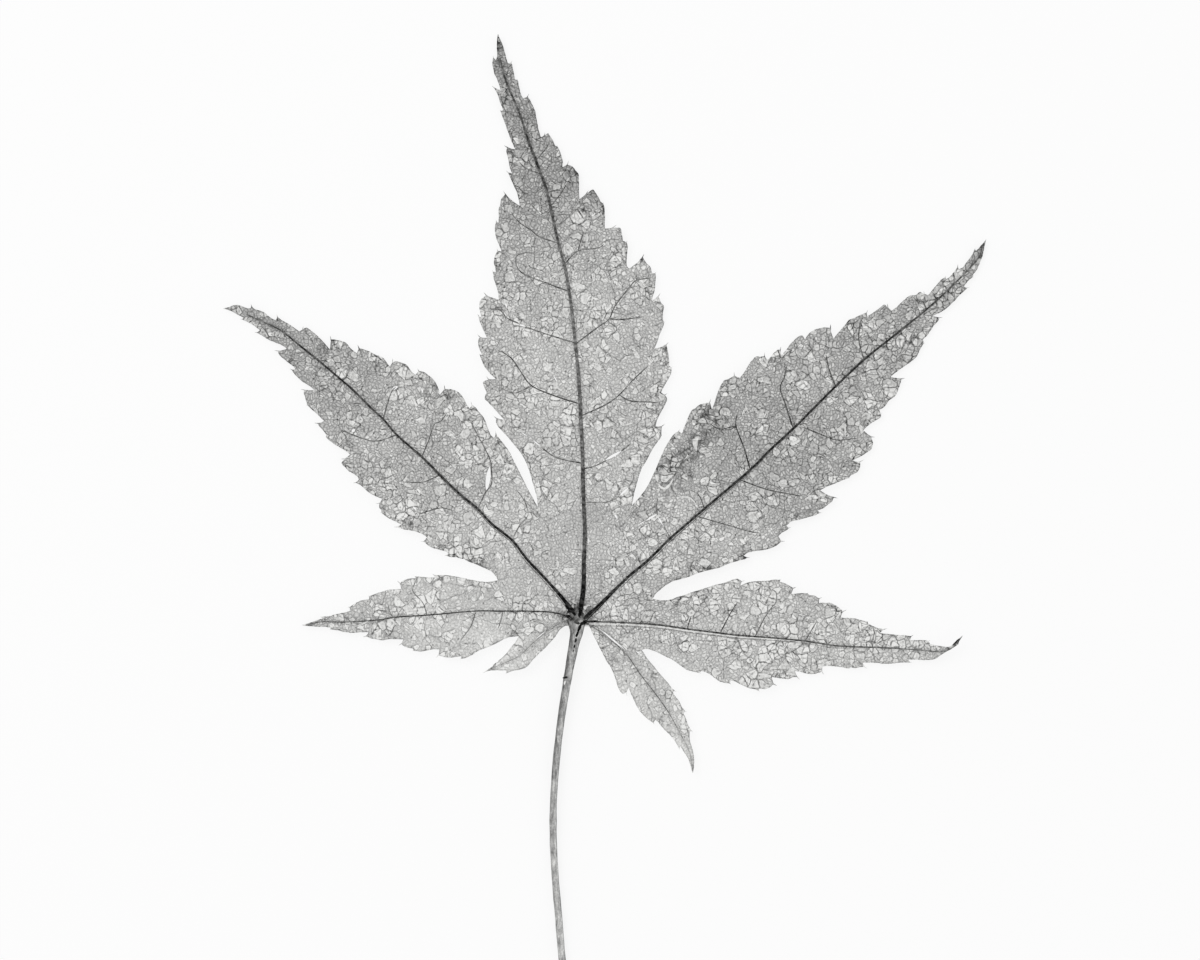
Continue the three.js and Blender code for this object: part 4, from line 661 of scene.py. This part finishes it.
def make_blade(material):
    """The blade: its two skins with a rim round every edge, and what its material needs to know."""
    loops = [whole_margin()] + [split_edge(*split) for split in SPLITS]
    edge_places = np.concatenate(loops)
    places = np.concatenate([edge_places, inner_places(loops)])
    rings, first = [], 0
    for loop in loops:
        rings.append(list(range(first, first + len(loop))))
        first += len(loop)
    found = geometry.delaunay_2d_cdt([Vector(p) for p in places], [], rings, 1, 1e-5, True)
    points, triangles, origins = np.array([tuple(p) for p in found[0]]), found[2], found[5]
    triangles = [t for t, origin in zip(triangles, origins) if origin == [0]]
    middle = blade_height(points)
    margin = nearest(points, tree_of(edge_places))
    rib = nearest(points, ribs_tree)
    half = BLADE_THICKNESS / 2 * (0.55 + 0.45 * np.minimum(1, margin / 0.6))
    count = len(points)
    top = np.column_stack([points, middle + half])
    under = np.column_stack([points, middle - half])
    sides = {edge: True for a, b, c in triangles for edge in ((a, b), (b, c), (c, a))}
    rim = [(b, a, a + count, b + count) for a, b in sides if (b, a) not in sides]
    below = [(c + count, b + count, a + count) for a, b, c in triangles]
    faces = [tuple(t) for t in triangles] + below + rim
    light, spread = lightness(points)
    facts = {"lightness": light, "islets": spread, "stain": stain(points), "rib": rib,
             "margin": nearest(points, tree_of(loops[0]))}
    facts = {label: np.concatenate([values, values]) for label, values in facts.items()}
    facts["under"] = np.concatenate([np.zeros(count), np.ones(count)])
    return mesh_piece("leaf_blade", np.concatenate([top, under]), faces, material, facts)


def headings(line):
    """Which way a line runs at each of its places."""
    ahead = np.gradient(line, axis=0)
    return ahead / np.linalg.norm(ahead, axis=1)[:, None]


def ridge(line, widths, tall, below, shades, sides=6):
    """A closed ridge along a line on the blade: low domes above and beneath the skin, pointed at its ends."""
    line = np.array(line)
    upper = [math.pi * k / (sides - 1) for k in range(sides)]
    # The last upper corner comes twice, so the wall on that side leans inward on its way down.
    around = [(turn, 1, tall) for turn in upper] + [(math.pi, 1, tall)]
    around += [(math.pi + turn, -1, below) for turn in upper[1:]]
    ring = len(around)
    vertices, faces, tones = [], [], []
    rows = zip(line, blade_height(line), headings(line), widths, shades)
    for i, ((x, y), z, way, width, shade) in enumerate(rows):
        width *= min(1, POINT_START + POINT_GROWTH * min(i, len(line) - 1 - i))
        for turn, side, dome in around:
            out = width / 2 * math.cos(turn)
            at = z + side * BLADE_THICKNESS / 2 + math.sin(turn) * width * dome
            vertices.append((x - way[1] * out, y + way[0] * out, max(FLOOR_GAP, at)))
            tones.append(shade)
    for i in range(len(line) - 1):
        for k in range(ring):
            a, b = i * ring + k, i * ring + (k + 1) % ring
            faces.append((a, a + ring, b + ring, b)[::-1])
    last = (len(line) - 1) * ring
    faces.append(tuple(range(ring))[::-1])
    faces.append(tuple(last + k for k in range(ring)))
    return vertices, faces, tones


def joined(parts):
    """Several ridges as one set of vertices, faces and shades."""
    vertices, faces, tones = [], [], []
    for more_vertices, more_faces, more_tones in parts:
        start = len(vertices)
        vertices += more_vertices
        faces += [tuple(start + k for k in face) for face in more_faces]
        tones += more_tones
    return vertices, faces, tones


def swell(line, shares, widths, seed, rough=0.12):
    """Widths along a rib or vein, uneven as a dried one is."""
    count = len(line)
    return [float(np.interp(i / (count - 1), shares, widths))
            * (1 + rough * noise.noise(Vector((x * 0.9, y * 0.9, seed)))
               + rough * noise.noise(Vector((x * 3.1, y * 3.1, seed))))
            for i, (x, y) in enumerate(line)]


def make_ribs(material):
    """The seven ribs, each as wide and as dark along its length as its lobe tells."""
    parts = []
    for number, rib in enumerate(RIBS):
        line = along(rib["through"], VEIN_STEP)
        widths = swell(line, RIB_SHARES, rib["width"], number)
        shades = np.interp(np.linspace(0, 1, len(line)), RIB_SHARES, rib["shade"]).tolist()
        parts.append(ridge(line, widths, 0.32, 0.4, shades))
    vertices, faces, tones = joined(parts)
    return mesh_piece("leaf_ribs", vertices, faces, material, {"shade": tones})


def make_rib_cords(material):
    """Thin cords that run beside the ribs, drawing in toward them."""
    parts = []
    for rib, aside, start, stop, width, shade in RIB_CORDS:
        line = np.array(along(RIBS[rib]["through"], VEIN_STEP))
        ahead = headings(line)
        first, last = round(start * (len(line) - 1)), round(stop * (len(line) - 1))
        share = np.linspace(0, 1, last - first)[:, None]
        right = np.column_stack([ahead[:, 1], -ahead[:, 0]])[first:last]
        line = line[first:last] + right * aside * (1 - 0.5 * share)
        fullness = [math.sin(math.pi * min(1, 0.15 + 0.85 * float(s))) ** 0.5 for s in share[:, 0]]
        widths = [max(THINNEST_CORD, width * full) for full in fullness]
        parts.append(ridge(line, widths, 0.3, 0.1, [shade] * len(line), 4))
    vertices, faces, tones = joined(parts)
    return mesh_piece("leaf_rib_cords", vertices, faces, material, {"shade": tones})


def make_side_veins(material):
    """The side veins, thinner and a little paler toward their ends."""
    parts = []
    for number, (width, shade, vein) in enumerate(VEINS):
        line = along(vein, VEIN_STEP)
        widths = swell(line, [0, 1], [width, width * 0.7], number + 20, 0.3)
        shades = np.linspace(shade, shade + 0.04, len(line)).tolist()
        parts.append(ridge(line, widths, 0.25, 0.3, shades, 4))
    vertices, faces, tones = joined(parts)
    return mesh_piece("leaf_side_veins", vertices, faces, material, {"shade": tones})


def make_flecks(material):
    """Thin pale scabs that stand just proud of the blade."""
    lines = list(SCABS)
    for x, y, length, width, turn in PALE_FLECKS:
        reach = np.array([math.cos(math.radians(turn)), math.sin(math.radians(turn))]) * length / 2
        lines.append((width, [(x, y) - reach, (x, y), (x, y) + reach]))
    parts = []
    for number, (width, fleck) in enumerate(lines):
        line = along(fleck, 0.1)
        widths = swell(line, [0, 0.5, 1], [width * 0.6, width, width * 0.5], number + 60, 0.5)
        parts.append(ridge(line, widths, 0.4, 0.1, [0] * len(line)))
    vertices, faces, _ = joined(parts)
    return mesh_piece("leaf_flecks", vertices, faces, material)


def stalk_height(y):
    """How high the stalk's middle lies: level with the blade at the hub, on the floor further down."""
    hub = float(lie(0.0, 0.0))
    down = min(1, max(0, y / STALK_LINE[-1][1]) * STALK_DROP)
    return hub + (STALK_REST - hub) * down


def stalk_width(y):
    """How wide the stalk is at a height."""
    return float(np.interp(y, [s[0] for s in STALK_WIDTHS[::-1]], [s[1] for s in STALK_WIDTHS[::-1]]))


def stalk_flatness(y):
    """The stalk's neck is flattened where it joins the blade."""
    return float(np.interp(y, [-6, -1, 0.4], [0.9, 0.6, 0.35]))


def make_stalk(material):
    """The stalk: a tapering rod with a shallow groove on top, a knuckle and a swollen foot."""
    line = np.array(along(STALK_LINE, STALK_STEP))
    sides, vertices, faces, round_about = 20, [], [], []
    for (x, y), way in zip(line, headings(line)):
        width = stalk_width(y) * (1 + 0.05 * noise.noise(Vector((x, y * 0.8, 2.2))))
        across = (-way[1], way[0])
        for k in range(sides):
            turn = 2 * math.pi * k / sides
            groove = 1 - GROOVE_DEPTH * math.exp(-((turn - math.pi * 0.5) / GROOVE_REACH) ** 2)
            lumps = 1 + 0.05 * noise.noise(Vector((math.cos(turn) * 1.3, y * 0.5, math.sin(turn) * 1.3)))
            out = width / 2 * groove * lumps
            z = stalk_height(y) + out * stalk_flatness(y) * math.sin(turn)
            aside = out * math.cos(turn)
            vertices.append((x + across[0] * aside, y + across[1] * aside, max(FLOOR_GAP, z)))
            round_about.append(math.cos(turn))
    for i in range(len(line) - 1):
        for k in range(sides):
            a, b = i * sides + k, i * sides + (k + 1) % sides
            faces.append((a, a + sides, b + sides, b)[::-1])
    last = (len(line) - 1) * sides
    faces += [tuple(range(sides))[::-1], tuple(last + k for k in range(sides))]
    return mesh_piece("leaf_stalk", vertices, faces, material, {"across": round_about})


def top_of_leaf(x, y):
    """The height of the leaf's upper skin near the hub, stalk included."""
    skin = float(blade_height([(x, y)])[0]) + BLADE_THICKNESS / 2
    middle = float(np.interp(y, [p[1] for p in STALK_LINE[::-1]], [p[0] for p in STALK_LINE[::-1]]))
    half = stalk_width(y) / 2
    if y > 0.3 or abs(x - middle) > half:
        return skin
    return max(skin, stalk_height(y) + stalk_flatness(y) * math.sqrt(half ** 2 - (x - middle) ** 2))


def make_knots(material):
    """The hub: dark dried lumps where the ribs and the stalk meet, and its streak down the stalk."""
    vertices, faces, tones = [], [], []
    for number, (x, y, length, width, turn, shade, height) in enumerate(KNOTS):
        c, s = math.cos(math.radians(turn)), math.sin(math.radians(turn))
        sides, rings, start = 22, 5, len(vertices)
        for j in range(rings + 1):
            share = j / rings
            for k in range(sides):
                angle = 2 * math.pi * k / sides
                around = Vector((math.cos(angle) * 1.6, math.sin(angle) * 1.6, number * 3.3))
                ragged = 1 + 0.3 * noise.noise(around)
                out = max(0.04, share) * ragged
                u, v = length / 2 * out * math.cos(angle), width / 2 * out * math.sin(angle)
                px, py = x + u * c - v * s, y + u * s + v * c
                lump = 0.3 * noise.noise(Vector((px * 4, py * 4, 6)))
                vertices.append((px, py, top_of_leaf(px, py) - 0.03 + height * (1 + lump) * (1 - share ** 2)))
                tones.append(shade)
        for j in range(rings):
            for k in range(sides):
                a, b = start + j * sides + k, start + j * sides + (k + 1) % sides
                faces.append((a, a + sides, b + sides, b))
        faces.append(tuple(start + k for k in range(sides)))
        outer, under = start + rings * sides, len(vertices)
        vertices += [(vx, vy, max(FLOOR_GAP, vz - KNOT_ROOT)) for vx, vy, vz in vertices[outer:outer + sides]]
        tones += [shade] * sides
        for k in range(sides):
            j = (k + 1) % sides
            faces.append((outer + k, under + k, under + j, outer + j))
        faces.append(tuple(under + k for k in range(sides))[::-1])
    return mesh_piece("leaf_hub", vertices, faces, material, {"shade": tones})


def linear(hex_colour):
    """An sRGB hex colour as the linear colour that the shaders take."""
    parts = [int(hex_colour[i:i + 2], 16) / 255 for i in (1, 3, 5)]
    return [p / 12.92 if p <= 0.04045 else ((p + 0.055) / 1.055) ** 2.4 for p in parts] + [1]


def per(size_mm):
    """The texture scale that gives a pattern this real size."""
    return 1 / (size_mm * MM)


def add(tree, kind, settings=None, links=None):
    """Adds one node: settings are its own, its sockets' values or a ramp's stops; links feed its sockets."""
    node = tree.nodes.new(kind)
    for name, value in (settings or {}).items():
        if name == "stops":
            ramp = node.color_ramp
            ramp.elements.remove(ramp.elements[1])
            ramp.elements[0].position, ramp.elements[0].color = value[0][0], linear(value[0][1])
            for place, colour in value[1:]:
                ramp.elements.new(place).color = linear(colour)
        elif isinstance(name, str) and hasattr(node, name):
            setattr(node, name, value)
        else:
            node.inputs[name].default_value = value
    for name, source in (links or {}).items():
        tree.links.new(source, node.inputs[name])
    return node


# From black to white with the least warmth, as a leaf that has lost its colour: a place is also how light
# it looks.
GREYS = [
  (0, "#020202"), (0.1, "#1a1a1a"), (0.2, "#333333"), (0.3, "#4d4d4c"), (0.4, "#666665"), (0.5, "#80807f"),
  (0.6, "#999998"), (0.7, "#b3b3b2"), (0.8, "#ccccca"), (0.9, "#e6e6e4"), (1, "#fdfdfb"),
]


def begin(name):
    """A new material with no nodes in it yet."""
    material = bpy.data.materials.new(name)
    material.use_nodes = True
    material.node_tree.nodes.clear()
    return material, material.node_tree


def layer(tree, total, *patterns):
    """Adds to a total the product of some patterns. Each is taken as it is, or eased: (pattern, low, high,
    start, stop) is start up to low and stop from high on."""
    product = None
    for pattern in patterns:
        if isinstance(pattern, tuple):
            source, low, high, start, stop = pattern
            eased = {"interpolation_type": "SMOOTHSTEP", "From Min": low, "From Max": high,
                     "To Min": start, "To Max": stop}
            pattern = add(tree, "ShaderNodeMapRange", eased, {"Value": source}).outputs[0]
        if product:
            both = {0: product, 1: pattern}
            pattern = add(tree, "ShaderNodeMath", {"operation": "MULTIPLY"}, both).outputs[0]
        product = pattern
    if total:
        return add(tree, "ShaderNodeMath", {"operation": "ADD"}, {0: total, 1: product}).outputs[0]
    return product


def cells(tree, place, size_mm):
    """Cells of one real size: how far a spot is from its cell's middle and from its edge, and the cell's own
    three numbers, from 0 to 1."""
    size = {"voronoi_dimensions": "2D", "Scale": per(size_mm)}
    cell = add(tree, "ShaderNodeTexVoronoi", size, {"Vector": place})
    edge = add(tree, "ShaderNodeTexVoronoi", {**size, "feature": "DISTANCE_TO_EDGE"}, {"Vector": place})
    own = add(tree, "ShaderNodeSeparateColor", {}, {"Color": cell.outputs["Color"]})
    return cell.outputs["Distance"], edge.outputs["Distance"], own.outputs[0], own.outputs[1], own.outputs[2]


def surface(material, total, relief, relief_mm, settings, links=None):
    """Ends a material: how light it is as a grey, with fine relief from a pattern."""
    tree = material.node_tree
    colour = add(tree, "ShaderNodeValToRGB", {"stops": GREYS}, {"Fac": total})
    bump = add(tree, "ShaderNodeBump", {"Strength": 0.35, "Distance": relief_mm * MM}, {"Height": relief})
    shader = add(tree, "ShaderNodeBsdfPrincipled", {"IOR": 1.45, **settings},
                 {"Base Color": colour.outputs["Color"], "Normal": bump.outputs["Normal"], **(links or {})})
    add(tree, "ShaderNodeOutputMaterial", {}, {"Surface": shader.outputs[0]})
    return material


def dried_blade():
    """Dried maple leaf tissue, pressed: matt, cloudy grey, with pale dead islets between a net of fine dark
    veins, so the eye reads thin brittle skin rather than paper."""
    material, tree = begin("dried_leaf_blade")
    place = add(tree, "ShaderNodeTexCoord").outputs["Object"]
    told = {label: add(tree, "ShaderNodeAttribute", {"attribute_name": label}).outputs["Fac"]
            for label in ("lightness", "islets", "stain", "margin", "rib", "under")}
    bent = place
    for size, reach in ((1.6, 0.9), (0.4, 0.22)):
        drift = add(tree, "ShaderNodeTexNoise", {"Scale": per(size), "Detail": 1.0},
                    {"Vector": bent}).outputs["Color"]
        pushed = {"operation": "MULTIPLY_ADD", 1: (reach * MM, reach * MM, 0)}
        bent = add(tree, "ShaderNodeVectorMath", pushed, {0: drift, 2: bent}).outputs[0]
    # Uneven fields by their real size in mm. The grain's 0.22 mm is the finest that still shows.
    field = {name: add(tree, "ShaderNodeTexNoise", {"Scale": per(size), "Detail": detail, "Roughness": 0.6},
                       {"Vector": place}).outputs["Fac"]
             for name, size, detail in (("clouds", 4.5, 3), ("clusters", 3.2, 1.5), ("breaks", 2.0, 1),
                                        ("blotches", 0.8, 3), ("grain", 0.22, 2))}
    chance = layer(tree, None, (field["clusters"], 0.25, 0.75, -0.28, 0.28))
    chance = layer(tree, chance, (told["islets"], 0, 1, -0.22, 0.24))

    # Pale islets that died first: size in mm, how rare, how much paler, and the dark line round each.
    total, islet = told["lightness"], None
    for size, rarity, paler, line, darker in ((0.98, 0.76, 0.15, 0.085, -0.21),
                                              (0.58, 0.64, 0.13, 0.13, -0.16)):
        middle, edge, own, dotted, tone = cells(tree, bent, size)
        likely = add(tree, "ShaderNodeMath", {"operation": "ADD"}, {0: chance, 1: own}).outputs[0]
        chosen = layer(tree, None, (likely, rarity, rarity + 0.03, 0, 1))
        body = layer(tree, None, chosen, (middle, 0.5, 0.66, 1, 0), (edge, line * 0.35, line, 0, 1),
                     (edge, 0.2, 0.38, 1, 0.75))
        total = layer(tree, total, body, (tone, 0, 1, paler * 0.6, paler * 1.3))
        total = layer(tree, total, chosen, (edge, line * 0.5, line, darker, 0))
        total = layer(tree, total, chosen, (dotted, 0.6, 0.65, 0, 1), (middle, 0.05, 0.16, -0.22, 0))
        if islet:
            body = add(tree, "ShaderNodeMath", {"operation": "MAXIMUM"}, {0: islet, 1: body}).outputs[0]
        islet = body
    ground = layer(tree, None, (islet, 0, 1, 1, 0.3), (told["lightness"], 0.76, 0.86, 1, 0.5))

    total = layer(tree, total, (field["clouds"], 0.3, 0.7, -0.03, 0.03))
    total = layer(tree, total, (field["grain"], 0.3, 0.7, -0.06, 0.06))

    # The tissue itself: cells of the finest net of veins, 0.32 mm across, dark between and some of them
    # bright.
    _, edge, own, _, _ = cells(tree, bent, 0.32)
    total = layer(tree, total, ground, (edge, 0.02, 0.26, -0.115, 0.06))
    total = layer(tree, total, ground, (own, 0.7, 0.82, 0, 0.12), (edge, 0.1, 0.3, 0, 1))

    # A wider net of veins, 2.4 mm across, thin and broken.
    _, edge, _, _, _ = cells(tree, bent, 2.4)
    total = layer(tree, total, (edge, 0.01, 0.035, -0.15, 0), (field["breaks"], 0.38, 0.52, 0, 1))

    # Stains, torn into blotches that go round the islets, dead specks by the margin, and its dark hairline.
    torn = layer(tree, None, (field["blotches"], 0.38, 0.62, -0.15, -1.6))
    total = layer(tree, total, told["stain"], torn, (islet, 0.2, 0.9, 1, 0.25))
    total = layer(tree, total, torn, (told["margin"], 0.02, 0.18, 0.09, 0))
    total = layer(tree, total, (field["blotches"], 0.54, 0.62, 0, -0.16), (told["margin"], 0.3, 1.8, 1, 0),
                  (field["clusters"], 0.44, 0.56, 0, 1))
    total = layer(tree, total, (told["rib"], 0.12, 0.45, -0.07, 0))
    middle, _, own, _, _ = cells(tree, place, 1.2)
    total = layer(tree, total, (middle, 0.04, 0.1, -0.24, 0), (own, 0.6, 0.65, 0, 1))
    total = layer(tree, total, (told["under"], 0, 1, 0, 0.05))
    matt = layer(tree, None, (islet, 0, 1, 0.82, 0.66))
    return surface(material, total, total, 0.12, {"Specular IOR Level": 0.3}, {"Roughness": matt})


def dried_rib():
    """Dried woody ribs and veins, shrunk: dark, patchy and faintly glossy, so they draw the leaf's lines."""
    material, tree = begin("dried_leaf_rib")
    place = add(tree, "ShaderNodeTexCoord").outputs["Object"]
    total = add(tree, "ShaderNodeAttribute", {"attribute_name": "shade"}).outputs["Fac"]
    for size, depth in ((0.8, 0.06), (0.3, 0.12)):
        grain = add(tree, "ShaderNodeTexNoise", {"Scale": per(size), "Detail": 2.5},
                    {"Vector": place}).outputs["Fac"]
        total = layer(tree, total, (grain, 0.34, 0.66, -depth, depth))
    return surface(material, total, grain, 0.08, {"Specular IOR Level": 0.1, "Roughness": 0.75})


def dried_stalk():
    """A dried leaf stalk: stringy fibres along it and paler toward its foot, so the eye reads a dry stem. Its
    left side and its right edge are darkened with painted shade, as shade falls on a round stalk's sides."""
    material, tree = begin("dried_leaf_stalk")
    place = add(tree, "ShaderNodeTexCoord").outputs["Object"]
    across = add(tree, "ShaderNodeAttribute", {"attribute_name": "across"}).outputs["Fac"]
    height = add(tree, "ShaderNodeSeparateXYZ", {}, {"Vector": place}).outputs["Y"]
    total = layer(tree, None, (height, -0.044, -0.022, 0.77, 0.68))
    # Patches, fine grain and fibres: size across in mm, how much longer they are along the stalk, and how
    # strong.
    for size, stretch, depth in ((0.45, 2.5, 0.09), (0.18, 1, 0.05), (0.2, 6, 0.1)):
        drawn = add(tree, "ShaderNodeVectorMath", {"operation": "MULTIPLY", 1: (1, 1 / stretch, 1)},
                    {0: place}).outputs[0]
        fibres = add(tree, "ShaderNodeTexNoise", {"Scale": per(size), "Detail": 3.0, "Roughness": 0.6},
                     {"Vector": drawn}).outputs["Fac"]
        total = layer(tree, total, (fibres, 0.34, 0.66, -depth, depth))
    # Painted shade: the left side, most of all near the hub, and the right edge are darkened as if shade fell
    # on them.
    total = layer(tree, total, (across, -0.9, 0.0, -0.24, 0), (height, -0.034, -0.02, 0.35, 1))
    total = layer(tree, total, (across, 0.7, 1.0, 0, -0.2))
    return surface(material, total, fibres, 0.08, {"Specular IOR Level": 0.35, "Roughness": 0.55})


def dry_scab():
    """Dry pale scabs and worn flecks of skin: chalky, so that they stay light against the blade."""
    material, tree = begin("dry_pale_scab")
    place = add(tree, "ShaderNodeTexCoord").outputs["Object"]
    grain = add(tree, "ShaderNodeTexNoise", {"Scale": per(0.3), "Detail": 2.0},
                {"Vector": place}).outputs["Fac"]
    total = layer(tree, None, (grain, 0.3, 0.7, 0.9, 1))
    return surface(material, total, grain, 0.05, {"Specular IOR Level": 0.2, "Roughness": 0.9})


def make_camera():
    """Straight above the leaf, with the middle of the view a little above the stalk's junction."""
    lens, film, wide = 100, 36, 120 * MM
    data = bpy.data.cameras.new("camera")
    data.lens, data.sensor_width, data.sensor_fit = lens, film, "HORIZONTAL"
    data.clip_start, data.clip_end = 0.01, 20
    camera = bpy.data.objects.new("camera", data)
    camera.location = ((2.1 + SHIFT_X) * MM, (14.0 + SHIFT_Y) * MM, wide * lens / film + 0.6 * MM)
    bpy.context.scene.collection.objects.link(camera)
    bpy.context.scene.camera = camera


def make_floor():
    """A plain pale table top, milky and a little lit from beneath, as a light table is."""
    material, tree = begin("matt_white_table")
    milky = {"Base Color": linear("#8a8a8a"), "Roughness": 0.9, "Specular IOR Level": 0.1,
             "Emission Color": linear("#ffffff"), "Emission Strength": 0.76}
    shader = add(tree, "ShaderNodeBsdfPrincipled", milky)
    add(tree, "ShaderNodeOutputMaterial", {}, {"Surface": shader.outputs[0]})
    half = 3
    mesh = bpy.data.meshes.new("table")
    corners = [(-half, -half, 0), (half, -half, 0), (half, half, 0), (-half, half, 0)]
    mesh.from_pydata(corners, [], [(0, 1, 2, 3)])
    mesh.materials.append(material)
    table = bpy.data.objects.new("table", mesh)
    bpy.context.scene.collection.objects.link(table)


def make_light():
    """Even light from all round and one broad lamp from the upper left."""
    world = bpy.data.worlds.new("studio")
    world.use_nodes = True
    world.node_tree.nodes.clear()
    even = add(world.node_tree, "ShaderNodeBackground", {"Color": linear("#ffffff"), "Strength": 0.72})
    add(world.node_tree, "ShaderNodeOutputWorld", {}, {"Surface": even.outputs[0]})
    bpy.context.scene.world = world
    lamp = bpy.data.lights.new("broad_lamp", "AREA")
    lamp.shape, lamp.size, lamp.energy = "DISK", 0.5, 0.9
    lamp_object = bpy.data.objects.new("broad_lamp", lamp)
    lamp_object.location = LAMP_PLACE
    lamp_object.rotation_euler = Vector(LAMP_PLACE).to_track_quat("Z", "Y").to_euler()
    bpy.context.scene.collection.objects.link(lamp_object)
    bpy.context.scene.view_settings.view_transform = "Standard"


make_camera()
make_floor()
make_light()
rib_finish = dried_rib()
make_blade(dried_blade())
make_ribs(rib_finish)
make_rib_cords(rib_finish)
make_side_veins(rib_finish)
make_flecks(dry_scab())
make_knots(rib_finish)
make_stalk(dried_stalk())
